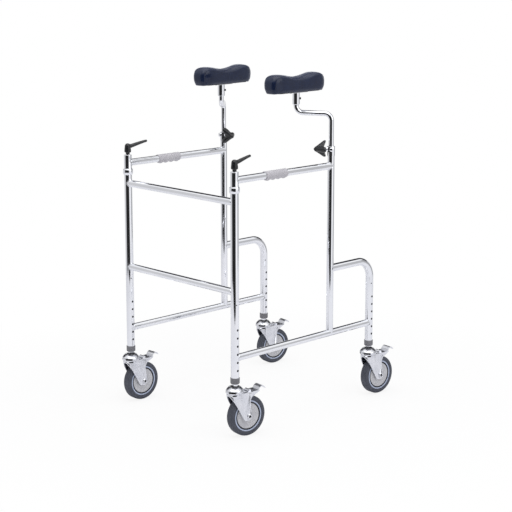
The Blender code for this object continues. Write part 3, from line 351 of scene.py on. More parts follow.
def add_world():
    """White studio. Mirror-like surfaces also see its unlit front and the gap over the backdrop."""
    world = bpy.data.worlds.new("studio")
    world.use_nodes = True
    scene.world = world
    graph = Graph(world.node_tree)
    rays = graph.add("LightPath").outputs
    direction = graph.add("TexCoord").outputs["Generated"]
    parts = graph.add("SeparateXYZ", {0: direction}).outputs
    bearing = graph.math("ARCTAN2", parts["Y"], parts["X"])
    share = graph.math("FRACT", graph.math("ADD", graph.math("DIVIDE", bearing, 2 * pi), 1.0))
    low = graph.add("ValToRGB", {"Fac": share})
    # bearings from the camera's direction, to its right, and the brightness there
    levels = ((-180, 0.8), (-120, 0.78), (-112, 0.66), (-76, 0.64), (-66, 0.022), (24, 0.022), (33, 1.0),
            (74, 1.0), (82, 0.58), (98, 0.52), (106, 0.34), (122, 0.36), (132, 0.8), (179.9, 0.8))
    front = degrees(atan2(FRONT[1], FRONT[0]))
    stops = sorted((((front + turn) / 360.0) % 1.0, level) for turn, level in levels)
    elements = low.color_ramp.elements
    while len(elements) < len(stops):
        elements.new(0.5)
    for element, (position, level) in zip(elements, stops):
        element.position = position
        element.color = (level, level, level * 1.01, 1.0)

    def height_step(first, last, *ends):
        """A soft step between two heights in the sky, in degrees."""
        return graph.step(parts["Z"], sin(radians(first)), sin(radians(last)), *ends)
    band = graph.math("MULTIPLY", height_step(10, 13), height_step(43, 47, 1.0, 0.0))
    behind = graph.vector("DOT_PRODUCT", {0: direction, 1: [-part for part in FRONT]}, "Value")
    gap = graph.math("MULTIPLY", graph.step(behind, 0.42, 0.56), band)
    lit = graph.blend(height_step(27, 31), low.outputs["Color"], WHITE)
    seen = graph.blend(gap, lit, (0.035, 0.035, 0.04, 1.0))
    glossy = graph.math("MAXIMUM", rays["Is Glossy Ray"], rays["Is Transmission Ray"])
    plain = graph.blend(rays["Is Camera Ray"], (0.62, 0.62, 0.63, 1.0), WHITE)
    background = world.node_tree.nodes["Background"]
    graph.put(background.inputs["Color"], graph.blend(glossy, plain, seen))
    background.inputs["Strength"].default_value = 1.0


def add_lamp(name, place, target, size, power):
    data = bpy.data.lights.new(name, "AREA")
    data.shape, data.size, data.energy = "SQUARE", size, power
    lamp = linked(name, data)
    lamp.location = place
    lamp.rotation_mode = "QUATERNION"
    lamp.rotation_quaternion = (Vector(target) - Vector(place)).to_track_quat("-Z", "Y")


def add_floor():
    shape = bmesh.new()
    bmesh.ops.create_grid(shape, x_segments=4, y_segments=4, size=14.0)
    floor = linked("studio_floor", mesh_of(shape, "studio_floor"))
    floor.location.z = -0.0005
    floor.data.materials.append(floor_material())


add_camera()
add_world()
add_floor()
add_lamp("overhead", (0.3, -0.4, 2.9), (0, 0, 0.5), 2.6, 34.0)
add_lamp("side", (2.6, 0.6, 1.9), (0, 0, 0.6), 1.6, 9.0)

# each finish that pieces take, and its slot in the record
CHROME = chrome(), "chrome"
ZINC = zinc(), "zinc_plate"
LEATHER = leather()
SEAM = plastic("navy_thread", (24, 26, 44), (30, 33, 54), 0.6, 2600.0, 0.4), "navy_vinyl"
HUB_RING = plastic("hub_ring_moulding", (186, 196, 218), (176, 186, 208), 0.34), "hub_plastic"
HUB_GROOVE = plastic("hub_groove_shadow", (62, 63, 68), (52, 53, 58), 0.6), "hub_plastic"
# dark grey finish for a ring round the caster's stem: painted shade where the neck sits in shade
NECK_SHADE = plastic("neck_shade_moulding", (62, 62, 66), (74, 74, 78), 0.5), "black_plastic"
# near-black finish for painted shade: sheets and discs put in the caster head's slots, the axle hollows and the
# open leg holes
PAINTED_SHADE = plastic("unlit_recess", (12, 12, 14), (18, 18, 20), 0.8), "black_plastic"
SCREW = plastic("blackened_screw", (60, 61, 66), (78, 79, 84), 0.35, constants={"Metallic": 0.8}), "zinc_plate"
BLACK = plastic("black_moulding", (19, 21, 24), (26, 28, 32), 0.36,
        constants={"Coat Weight": 0.1, "Coat Roughness": 0.2}), "black_plastic"
GRIP = plastic("grey_grip_moulding", (192, 190, 195), (183, 181, 187), 0.5, 1100.0, 0.06), "grey_grip"
BUSH = plastic("grey_bush_moulding", (124, 124, 128), (112, 112, 117), 0.45), "grey_bush"
BOARD = plastic("black_board_fleck", (24, 25, 28), (33, 34, 38), 0.62, 700.0, 0.3)
TYRE = plastic("tyre_compound", (74, 77, 88), (65, 68, 79), 0.6, 1200.0, 0.2), "tyre_rubber"
HUB = plastic("hub_moulding", (206, 206, 209), (196, 196, 200), 0.42, grain=0.05), "hub_plastic"

# the nodes that stay in view, apart from chromed ones
FINISH = {"pad_board": BOARD, "snap_button": SCREW[0]}
for name in nodes:
    finish = next((FINISH[word] for word in FINISH if name.endswith(word)), CHROME[0])
    slots = nodes[name].data.materials
    for index in range(len(slots)):
        slots[index] = finish
    if not slots:
        slots.append(finish)


# ---- mesh helpers
def piece(name, shape, finish, body, node=None, smooth=40.0, rule=None, others=()):
    """A piece from a bmesh, smooth apart from its sharp edges, that rides on a body and stands for a node.

    A rule finds a face corner's normal from its point, its face's normal and the present one.
    """
    bmesh.ops.recalc_face_normals(shape, faces=shape.faces)
    mesh = mesh_of(shape, name)
    made = linked(name, mesh)
    for material, slot in (finish, *others):
        mesh.materials.append(material)
    mesh.shade_smooth()
    mesh.set_sharp_from_angle(angle=radians(smooth))
    if rule:
        present = [corner.vector.copy() for corner in mesh.corner_normals]
        mesh.normals_split_custom_set([
                rule(mesh.vertices[mesh.loops[corner].vertex_index].co, face.normal, present[corner])
                for face in mesh.polygons for corner in face.loop_indices])
    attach(made, body)
    if node:
        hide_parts(node)


def plated(stem, shape, body, node=None, rule=None):
    """A chromed piece in place of a node, which is named like it unless given."""
    piece(stem + "_round", shape, CHROME, body, node or stem, rule=rule)


def ring_faces(shape, first, second, index=0):
    count = len(first)
    for number in range(count):
        after = (number + 1) % count
        face = shape.faces.new((first[number], first[after], second[after], second[number]))
        face.material_index = index


def fan(shape, ring, tip, index=0):
    for number, point in enumerate(ring):
        shape.faces.new((point, ring[(number + 1) % len(ring)], tip)).material_index = index


def skin(shape, rings, closed=False, ends=(0, -1)):
    """Faces from ring to ring, then back to the first ring if closed, or else over the ends."""
    for first, second in zip(rings, rings[1:] + (rings[:1] if closed else [])):
        ring_faces(shape, first, second)
    for end in () if closed else ends:
        shape.faces.new(rings[end])


def lathe(profile, sides, place, shape=None, indices=None):
    """A solid of revolution about local Z from (radius, height) points, put in place by a matrix."""
    shape = shape or bmesh.new()
    rings = []
    for radius, height in profile:
        plan = circle(radius, sides) if radius >= 1e-7 else [(0, 0.0)]
        rings.append([shape.verts.new(place @ Vector((x, y, height))) for x, y in plan])
    for number, (first, second) in enumerate(zip(rings, rings[1:] + rings[:1])):
        index = indices[number] if indices else 0
        if len(first) > 1 and len(second) > 1:
            ring_faces(shape, first, second, index)
        elif len(first) > 1:
            fan(shape, first, second[0], index)
        elif len(second) > 1:
            fan(shape, second, first[0], index)
    return shape


def smooth_path(points, steps):
    """A Catmull-Rom curve through the points."""
    points = [Vector(point) for point in points]
    ends = [2 * points[0] - points[1]] + points + [2 * points[-1] - points[-2]]
    path = []
    for number in range(len(points) - 1):
        a, b, c, d = ends[number:number + 4]
        for step in range(steps):
            t = step / steps
            path.append(0.5 * ((2 * b) + (c - a) * t + (2 * a - 5 * b + 4 * c - d) * t * t
                    + (3 * b - a - 3 * c + d) * t ** 3))
    return path + [points[-1]]


def spread(points, steps):
    """A smooth curve through (a, b) points."""
    return [(point.x, point.y) for point in smooth_path([(a, b, 0) for a, b in points], steps)]


def tube(path, radii, sides, shape=None, closed=False):
    """A round bar along a path, with a radius for each point or one for all. closed makes a loop."""
    shape = shape or bmesh.new()
    path = [Vector(point) for point in path]
    radii = radii if isinstance(radii, list) else [radii] * len(path)
    rings = []
    across = None
    for number, point in enumerate(path):
        if closed:
            tangent = (path[(number + 1) % len(path)] - path[number - 1]).normalized()
        else:
            tangent = (path[min(number + 1, len(path) - 1)] - path[max(number - 1, 0)]).normalized()
        if across is None:
            across = tangent.orthogonal().normalized()
        across = (across - tangent * across.dot(tangent)).normalized()
        beside, radius = tangent.cross(across), radii[number]
        rings.append([shape.verts.new(point + (across * cos(angle) + beside * sin(angle)) * radius)
                for angle in around(sides)])
    skin(shape, rings, closed)
    return shape


def modify(thing, *steps):
    """An object's mesh after some more modifiers, each a kind and its settings."""
    for kind, settings in steps:
        give(thing.modifiers.new(kind, kind), settings)
    graph = bpy.context.evaluated_depsgraph_get()
    return bpy.data.meshes.new_from_object(thing.evaluated_get(graph))


def modified(shape, *steps):
    """The bmesh after some modifiers."""
    thing = linked("work", mesh_of(shape, "work"))
    result = bmesh.new()
    result.from_mesh(modify(thing, *steps))
    bpy.data.objects.remove(thing)
    return result


def cut_from(shape, cutter):
    for part in (cutter, shape):
        bmesh.ops.recalc_face_normals(part, faces=part.faces)
    tool = linked("cutter", mesh_of(cutter, "cutter"))
    result = modified(shape, ("BOOLEAN", {"operation": "DIFFERENCE", "solver": "EXACT", "object": tool}))
    bpy.data.objects.remove(tool)
    return result


def saddle(radius, across):
    """How far from a round tube's axis an end that seats on it starts, at a point across."""
    return sqrt(max(0.0, radius ** 2 - across ** 2)) - SEAT_DEPTH


def round_about(axis, radius):
    """A rule that gives a tube's outside the exact normals of a round bar, upright at a place or bent."""
    def rule(point, face, present):
        out = point - (at_level(axis, point.z) if isinstance(axis, Vector) else axis(point))
        if abs(out.length - radius) < 0.00012 and face.dot(out) > 0.8 * out.length:
            return out.normalized()
        return present
    return rule


# ---- round tubes
def rail(node, body, start, end, end_radius=POST_RADIUS):
    """A straight tube from a post to another upright tube, its ends cut to saddle them."""
    level = centre(node).z
    start, end = at_level(start, level), at_level(end, level)
    along = (end - start).normalized()
    shape = bmesh.new()
    rings = []
    for point, seat, sign in ((start, POST_RADIUS, 1), (end, end_radius, -1)):
        rings.append([shape.verts.new(
            point + along * sign * saddle(seat, u) + left_of(along) * u + Vector((0, 0, w)))
            for u, w in circle(RAIL_RADIUS, ROUND)])
    skin(shape, rings)
    plated(node, shape, body)


def hole_cutter(leg):
    shape = bmesh.new()
    for z in HOLE_LEVELS:
        tube([(leg.x + POST_RADIUS * reach, leg.y, z) for reach in (0.5, 1.5)], HOLE_RADIUS, 20, shape)
    return shape


def front_post(side):
    """The hinge tube, the sleeve above it with its collar ring, and the drilled leg tube below it."""
    post, here = POST[side], upright_at(POST[side])
    spigot, wall, stud = LEG_BORE - 0.0015, 0.0025, 0.004
    outer, wide = POST_RADIUS, COLLAR_RADIUS
    base, seam, foot = COLLAR_BASE_Z, LOWER_SEAM_Z, LEG_FOOT_Z
    high, top = base - GAP, POST_TOP_Z - GAP
    profile = [(0, top + 0.02), (stud, top + 0.02), (stud, top), (spigot, top), (spigot, high),
            (outer, high), (outer, seam + GAP), (spigot, seam + GAP), (spigot, seam - 0.04),
            (spigot - wall, seam - 0.04), (spigot - wall, high - 0.02), (0, high - 0.02)]
    plated(side + "_hinge_tube", lathe(profile, ROUND, here), "front_frame")
    ring_top, edge, inner = base + 0.02, 0.0015, spigot + 0.0005
    profile = [(outer - 0.0004, POST_TOP_Z), (outer, POST_TOP_Z - 0.0004),
            (outer, ring_top + edge), (wide - 0.0004, ring_top - 0.0034),
            (wide, ring_top - 0.0041), (wide, base + 0.0046),
            (wide - 0.0004, base + 0.0039), (outer + 0.0012, base), (inner, base), (inner, POST_TOP_Z)]
    plated(side + "_upper_sleeve", lathe(profile, ROUND, here), side + "_side")
    profile = [(outer, foot), (outer, seam), (LEG_BORE, seam), (LEG_BORE, foot)]
    leg = cut_from(lathe(profile, ROUND, here), hole_cutter(post))
    plated(side + "_front_leg", leg, side + "_side", side + "_front_leg_tube", round_about(post, outer))


def rear_leg(side):
    """The tube from the arm post that bends down into the drilled rear leg."""
    arm, rear = ARM[side], REAR[side]
    x, bend_y, bend_z = rear.x, rear.y - REAR_BEND, REAR_TUBE_Z - REAR_BEND
    path = [Vector((x, arm.y, REAR_TUBE_Z))]
    for step in range(25):
        angle = radians(90.0 - 90.0 * step / 24)
        path.append(Vector((x, bend_y + REAR_BEND * cos(angle), bend_z + REAR_BEND * sin(angle))))
    path.append(Vector((x, rear.y, LEG_FOOT_Z)))
    shape = tube(path, POST_RADIUS, ROUND)
    shape.verts.ensure_lookup_table()
    for vertex in shape.verts[:ROUND]:
        vertex.co.y = arm.y + saddle(ARM_POST_RADIUS, vertex.co.x - x)
    under = LEG_FOOT_Z - 0.01
    bore = lathe([(0, under), (LEG_BORE, under), (LEG_BORE, bend_z), (0, bend_z)], ROUND, upright_at(rear))
    # the holes meet the bore, so they are a second cut
    shape = cut_from(cut_from(shape, bore), hole_cutter(rear))

    def middle(point):
        if point.z < bend_z:
            return at_level(rear, point.z)
        if point.y < bend_y:
            return Vector((x, point.y, REAR_TUBE_Z))
        out = Vector((0, point.y - bend_y, point.z - bend_z)).normalized()
        return Vector((x, bend_y, bend_z)) + out * REAR_BEND
    plated(side + "_rear_leg", shape, side + "_side", side + "_rear_leg_tube", round_about(middle, POST_RADIUS))


def arm_post(side):
    """The arm post, and on its top the clamp collar with the knob's boss and the dome beside it."""
    arm, level, top = ARM[side], centre(side + "_bottom_rail").z, ARM_POST_TOP_Z
    profile = [(ARM_POST_RADIUS, level), (ARM_POST_RADIUS, top), (ARM_POST_BORE, top), (ARM_POST_BORE, level)]
    shape = lathe(profile, ROUND, upright_at(arm))
    for vertex in shape.verts:
        if vertex.co.z < level + 0.001:
            vertex.co.z = level + saddle(RAIL_RADIUS, vertex.co.x - arm.x)
    plated(side + "_arm_post", shape, side + "_side")

    low, high, bore = top + GAP, top + 0.03, ROD_RADIUS + 0.0004
    spigot, wide = ARM_POST_BORE - 0.0006, ARM_POST_RADIUS + 0.001
    profile = [(wide - 0.0012, high), (wide - 0.0004, high - 0.0003), (wide, high - 0.0012), (wide, low),
            (spigot, low), (spigot, low - 0.02), (bore, low - 0.02), (bore, high)]
    shape = lathe(profile, ROUND, upright_at(arm))
    start, radius = wide - 0.002, 0.0065
    boss = [(0.0042, start), (0.0042, 0.0165), (radius - 0.0004, 0.0165), (radius, 0.0161), (radius, start)]
    dome = [(0, start), (0, 0.0195), (radius * 0.35, 0.0194), (radius * 0.75, 0.0187),
            (radius * 0.95, 0.0178), (radius, 0.0166), (radius, start)]
    bearing = KNOB_ANGLE[side]
    for outline, turn in ((boss, 0.0), (dome, 90.0 if side == "left" else -90.0)):
        lathe(outline, 32, pointing(at_level(arm, KNOB_Z), toward(bearing + turn)), shape)
    plated(side + "_arm_collar", shape, side + "_collar")


def arm_rod(side):
    """The cranked rod."""
    foot, crank, top, bend = 0.6, 0.945, 1.007, 0.022
    angles = [radians(90.0 * step / 12) for step in range(13)]
    quarter = [(bend * cos(angle), bend * sin(angle)) for angle in angles]
    flat = [(0, foot)] + [(bend - u, crank - bend + w) for u, w in quarter]
    flat += [(CRANK_LENGTH - bend + w, crank + bend - u) for u, w in quarter] + [(CRANK_LENGTH, top)]
    path = [at_level(ARM[side], z) + toward(CRANK_ANGLE[side]) * reach for reach, z in flat]
    plated(side + "_arm_rod", tube(path, ROD_RADIUS, 32), side + "_arm")


def softened(node, tag, finish, body, rule=None, cutter=None):
    """The node's own form with soft shading over its bends and rounds, and with a cutter's form taken out."""
    shape = bmesh.new()
    shape.from_mesh(nodes[node].data)
    shape.transform(nodes[node].matrix_world)
    bmesh.ops.remove_doubles(shape, verts=shape.verts, dist=0.00001)
    bmesh.ops.dissolve_limit(shape, angle_limit=radians(0.5), verts=shape.verts, edges=shape.edges)
    if cutter:
        shape = cut_from(shape, cutter)
    piece(node + tag, shape, finish, body, node, rule=rule)


def dome_rule(axis):
    """Soft round shading for the caster's domed head."""
    def rule(point, face, present):
        out = Vector((point.x - axis.x, point.y - axis.y, 0))
        drop = DOME_TOP_Z - point.z
        if not (-0.0002 <= drop <= 0.0178 and 0.018 <= out.length <= 0.0278 and face.z <= 0.95):
            return present
        if face.dot(out.normalized()) < 0.35:
            return present
        lean = radians(np.interp(drop, (0, 0.0065, 0.0105, 0.0175), (72.0, 52.0, 20.0, -4.0)))
        return out.normalized() * cos(lean) + Vector((0, 0, sin(lean)))
    return rule


def leg_end(place):
    """The bushing, the leg extension, and the caster's fork and pedal."""
    stem, axle, across, along = caster_of(place)
    foot, width = LEG_FOOT_Z - 0.0055, POST_RADIUS + 0.0017
    seat, socket, inner = LEG_FOOT_Z - GAP, POST_RADIUS + GAP, LEG_BORE - GAP
    profile = [(width - 0.0004, foot + 0.0185), (width, foot + 0.0181), (width, foot + 0.003),
            (width - 0.0008, foot + 0.0012), (width - 0.0026, foot), (inner, foot), (inner, seat),
            (socket, seat), (socket, foot + 0.0185)]
    piece(place + "_bushing_round", lathe(profile, ROUND, upright_at(stem)), BUSH,
          place.split("_")[0] + "_side", place + "_leg_bushing")
    softened(place + "_leg_extension", "_round", CHROME, place + "_leg",
            round_about(stem, LEG_BORE - 0.0007))
    hollows = bmesh.new()
    for sign in (1, -1):
        tube([axle + across * sign * reach for reach in (HOLLOW_FLOOR, 0.028)], HOLLOW_RADIUS, 28, hollows)
    softened(place + "_caster_fork", "_soft", ZINC, place + "_caster",
            dome_rule(stem - along * DOME_SHIFT), hollows)
    softened(place + "_brake_pedal", "_soft", ZINC, place + "_pedal")


def frame_tubes():
    for bar in CROSSBARS:
        rail(bar, "front_frame", POST["right"], POST["left"])
    for side in SIDES:
        front_post(side)
        rear_leg(side)
        arm_post(side)
        arm_rod(side)
        rail(side + "_top_rail", side + "_side", POST[side], ARM[side], ARM_POST_RADIUS)
        rail(side + "_bottom_rail", side + "_side", POST[side], REAR[side])
        softened(side + "_pad_bracket", "_round", CHROME, side + "_pad",
                round_about(PAD_AXIS[side], 0.0118))
    for place in PLACES:
        leg_end(place)


# ---- wheels
TYRE_HALF = 0.0145
HUB_FACE = TYRE_HALF - 0.0012
ON_RING, ON_DISC, ON_GROOVE = 0, 1, 2


def hub_section():
    """Half of the hub's (radius, x, finish) outline, from the axle outwards."""
    # radii, and depths below the hub's face
    disc = [(0.0053, -0.0032), (0.01, -0.0032), (0.011, -0.0027), (0.0113, 0.001)]
    radius, pitch = 0.0125, 0.0028
    while radius < 0.0372:
        disc += [(radius + step, depth)
                 for step, depth in ((0, 0.0018), (0.0007, 0.0013), (0.0014, 0.0013), (0.0021, 0.0018))]
        radius += pitch
    disc += [(0.0383, 0.0012), (0.0388, 0.0012)]
    groove = [(0.0394, 0.0019), (0.0396, 0.0047), (0.0432, 0.0047)]
    ring = [(0.0436, 0.001), (0.0441, 0.0001), (0.045, -0.0003), (0.047, -0.0003), (0.0479, 0.0002),
            (0.0482, 0.001)]
    return [(radius, HUB_FACE - depth, kind)
            for points, kind in ((disc, ON_DISC), (groove, ON_GROOVE), (ring, ON_RING))
            for radius, depth in points]


def wheel(place):
    put = pointing(centre(place + "_tyre"), toward(CASTER_ANGLE[place]))
    tyre = [(0.0486, HUB_FACE), (0.05, TYRE_HALF - 0.0003), (0.0535, TYRE_HALF)]
    for step in range(8):
        angle, bend = radians(82 - 68 * step / 7), 0.0062
        tyre.append((WHEEL_RADIUS - bend + bend * cos(angle), TYRE_HALF - 0.0066 + bend * sin(angle)))
    tyre += [(WHEEL_RADIUS - 0.00012, 0.005), (WHEEL_RADIUS, 0.0)]
    tyre += [(radius, -x) for radius, x in reversed(tyre[:-1])]
    piece(place + "_tyre_soft", lathe(tyre, 72, put), TYRE, place + "_wheel", place + "_tyre", smooth=50)

    section = hub_section()
    section += [(radius, -x, kind) for radius, x, kind in reversed(section)]
    kinds = [kind for radius, x, kind in section]
    indices = [ON_GROOVE if here == ON_GROOVE or (here, after) == (ON_RING, ON_GROOVE) else min(here, after)
            for here, after in zip(kinds, kinds[1:] + kinds[:1])]
    piece(place + "_hub_disc", lathe([(radius, x) for radius, x, kind in section], 72, put, indices=indices),
          HUB_RING, place + "_wheel", place + "_wheel_hub", smooth=30, others=(HUB, HUB_GROOVE))


# The head's slots: bearing from the axle, width, lowest and highest point over the wheel, the inner and outer
# distance from the stem of the sheet of painted shade across it, and whether that sheet follows the dome.
SLOTS = ((52.0, 0.0218, 0.0171, 0.0219, 0.0231, 0.0266, True),
        (36.0, 0.0118, 0.0081, 0.0117, 0.0137, 0.0222, False))


def caster_details(place):
    """The axle's hollow ends with a disc of painted shade at the bottom of each, a dark ring of painted shade
    round the stem, and sheets of painted shade across the head's slots.
    """
    stem, axle, across, along = caster_of(place)
    body = place + "_caster"
    # A dark ring round the stem, on top of the head: painted shade round the neck.
    shade_profile = [(0.0094, 0.0002), (0.0094, 0.0016), (0.012, 0.0019), (0.0134, 0.001), (0.0136, 0.0002)]
    piece(place + "_stem_shade_ring", lathe(shade_profile, 40, upright_at(stem, DOME_TOP_Z)), NECK_SHADE, body)
    rim = [(HOLLOW_RADIUS, 0.0213), (HOLLOW_RADIUS, 0.0235), (0.005, 0.0239), (0.0064, 0.0239),
           (0.0078, 0.0231), (0.0087, 0.0215), (0.0087, 0.0203), (0.008, 0.0203)]
    # A near-black disc at the bottom of each axle hollow: painted shade.
    floor = [(0, 0.0216), (HOLLOW_RADIUS, 0.0216), (HOLLOW_RADIUS, HOLLOW_FLOOR), (0, HOLLOW_FLOOR)]
    for sign, tag in ((1, "outer"), (-1, "inner")):
        put = pointing(axle, across * sign)
        piece(place + "_axle_rim_" + tag, lathe(rim, 40, put), ZINC, body)
        piece(place + "_axle_bore_shade_" + tag, lathe(floor, 28, put), PAINTED_SHADE, body)
        # Each slot gets a near-black sheet across it: painted shade for the slot's shaded inside.
        for number, (bearing, width, low, high, inner, outer, domed) in enumerate(SLOTS):
            angle = radians(-bearing)
            out = across * sign * cos(angle) + along * sin(angle)
            side = left_of(out)
            plan = []
            for step in range(11):
                wide = width * (step / 10 - 0.5)
                reach = sqrt(outer ** 2 - wide ** 2) if domed else outer
                plan.append(stem + out * reach + side * wide - along * (DOME_SHIFT if domed else 0.0))
            plan += [stem + out * inner + side * width * 0.5, stem + out * inner - side * width * 0.5]
            shape = bmesh.new()
            skin(shape, [[shape.verts.new((point.x, point.y, 2 * WHEEL_RADIUS + level)) for point in plan]
                    for level in (low, high)])
            piece(f"{place}_slot_floor_{tag}_{number + 1}", shape, PAINTED_SHADE, body)


# ---- knobs, levers, grips
def star_knob(side):
    """A three-lobed knob whose face rises to its middle, with a neck on its boss."""
    put = upright_at(ARM[side], KNOB_Z, KNOB_ANGLE[side])
    back = 0.0238
    seat, deep = back - 0.0065, back + 0.003
    sections = spread([(0.0004, 0.8), (0, 0.9), (0.0022, 0.985), (0.0055, 0.985), (0.0085, 0.93),
            (0.0165, 0.64), (0.0235, 0.38), (0.0285, 0.17), (0.0306, 0.06)], 4)
    shape = bmesh.new()
    rings = []
    for depth, scale in sections:
        tip = 0.0293 * scale
        valley = min(0.011 * (0.55 + 0.45 * scale), tip)
        ring = []
        for angle in around(72):
            lobe = (0.5 + 0.5 * cos(3 * angle)) ** 1.4
            reach = valley + (tip - valley) * lobe
            x = back + depth - 0.0085 * lobe * scale
            ring.append(shape.verts.new(put @ Vector((x, reach * cos(angle), reach * sin(angle)))))
        rings.append(ring)
    skin(shape, rings, ends=())
    for ring, x in ((rings[0], back + 0.002), (rings[-1], back + 0.0312)):
        fan(shape, ring, shape.verts.new(put @ Vector((x, 0, 0))))
    neck = [(0, deep), (0.006, deep), (0.006, seat + 0.0008), (0.0052, seat), (0, seat)]
    lathe(neck, 32, put @ Matrix.Rotation(pi / 2, 4, "Y"), shape)
    piece(side + "_knob_moulding", shape, BLACK, side + "_knob", side + "_star_knob", smooth=45)


LEVER_TIP = Vector((0.0625, 0, 0.0412))
LEVER_THICK, LEVER_THIN = 0.0068, 0.0039


def clamp_lever(side):
    """A moulded lever: a domed hub with a flared skirt, and a tapered arm that flows out of it."""
    put = upright_at(POST[side], POST_TOP_Z, LEVER_ANGLE[side])
    hub = spread([(0, 0.0362), (0.004, 0.0355), (0.0076, 0.0325), (0.0092, 0.0285), (0.0098, 0.0225),
            (0.0106, 0.0145), (0.0106, 0.01), (0.0096, 0.008)], 4)
    hub += [(0.0064, 0.0072), (0.0062, 0.0006), (0, 0.0006)]
    shape = lathe(hub, 40, put)
    arm = smooth_path([(0.0, 0, 0.0262), (0.012, 0, 0.028), (0.03, 0, 0.033), (0.05, 0, 0.0385),
            LEVER_TIP], 6)
    radii = [LEVER_THICK - (LEVER_THICK - LEVER_THIN) * max(0.0, point.x / LEVER_TIP.x) for point in arm]
    direction = (arm[-1] - arm[-2]).normalized()
    for ahead, scale in ((0.0012, 0.9), (0.0021, 0.66), (0.0026, 0.3)):
        arm.append(LEVER_TIP + direction * ahead)
        radii.append(LEVER_THIN * scale)
    tube([put @ point for point in arm], radii, 24, shape)
    shape = modified(shape, ("REMESH", {"mode": "VOXEL", "voxel_size": 0.0007}),
            ("SMOOTH", {"iterations": 5, "factor": 0.5}))
    piece(side + "_lever_moulding", shape, BLACK, side + "_lever", side + "_clamp_lever", smooth=60)


def grip_reach(angle, share):
    """A grip's radius at an angle, at a share of its length."""
    edge, crown, wave_depth, waves = 0.0116, 0.0132, 0.0028, 4
    ends = max(0.0, abs(2 * share - 1) - 0.93) / 0.07
    under = max(0, 0.35 - sin(angle)) / 1.35
    lean = 0.035 * cos(angle)
    wave = 0.5 - 0.5 * cos(2 * pi * waves * (share + lean))
    flange = 0.0006 * exp(-((min(share, 1 - share) - 0.02) / 0.012) ** 2)
    reach = crown + wave_depth * under * wave ** 0.8 + flange
    return edge + (reach - edge) * sqrt(max(0.0, 1 - ends * ends))


def hand_grip(side):
    """A moulded grip: a smooth crown along the top and finger waves that wrap its lower half."""
    low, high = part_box(side + "_hand_grip")
    x, z = (low.x + high.x) / 2, centre(side + "_top_rail").z
    start, length = low.y, high.y - low.y
    points, stations, bore = 48, 96, 0.0113
    shape = bmesh.new()

    def ring(y, radius_at):
        return [shape.verts.new((x + radius_at(angle) * cos(angle), y, z + radius_at(angle) * sin(angle)))
                for angle in around(points)]
    rings = [ring(start + length * share, lambda angle: grip_reach(angle, share))
             for share in (station / stations for station in range(stations + 1))]
    rings += [ring(y, lambda angle: bore) for y in (start + length, start)]
    skin(shape, rings, closed=True)
    piece(side + "_grip_moulding", shape, GRIP, side + "_side", side + "_hand_grip", smooth=50)


# ---- arm pads
PAD_LENGTH, PAD_WIDTH = 0.234, 0.0618
PAD_BASE, PAD_SHRINK, PAD_WRAP, PUFF_CAP = 0.0003, 0.0002, 0.0036, 0.0034
PAD_DIP, PAD_HUMP, HUMP_Y, HUMP_SPREAD, BOARD_DEPTH = 0.0443, 0.0573, 0.0838, 0.0437, 0.0043
CLOTH_FRAMES = 20
CLOTH = {"quality": 5, "mass": 0.2, "tension_stiffness": 30.0, "compression_stiffness": 30.0,
        "shear_stiffness": 12.0, "bending_stiffness": 2.0, "use_pressure": True, "uniform_pressure_force": 4.0,
        "vertex_group_mass": "held"}


def hump_at(y):
    return exp(-((abs(y) - HUMP_Y) / HUMP_SPREAD) ** 2)


def pad_top(y):
    return PAD_DIP + (PAD_HUMP - PAD_DIP) * hump_at(y) - BOARD_DEPTH


def pad_outline(half_length, half_width):
    """A rounded plan with even steps: along the sides by length, and round the ends by width."""
    squareness, turn_at = 5.0, 0.93

    def reach(share):
        return (1 - abs(share) ** squareness) ** (1 / squareness)
    end_at = reach(turn_at)
    sides = [-turn_at + 2 * turn_at * step / 40 for step in range(40)]
    ends = [-end_at + 2 * end_at * step / 20 for step in range(20)]
    plan = [(reach(f), f) for f in sides] + [(-g, reach(g)) for g in ends]
    plan += [(-reach(f), -f) for f in sides] + [(g, -reach(g)) for g in ends]
    return [(x * half_width, y * half_length) for x, y in plan]


def hang(y):
    """The cover hangs a little lower past the board's ends."""
    return 0.002 * min(1.0, max(0.0, (abs(y) - 0.094) / 0.012))


def end_draw(share):
    """How far the ends are rounded in at a height, beyond what the plan's scale gives."""
    foot = 0.003 * max(0.0, 1.0 - share / 0.3) ** 2
    crown = 0.005 * min(1.0, max(0.0, (share - 0.58) / 0.3)) ** 1.5
    return foot + crown


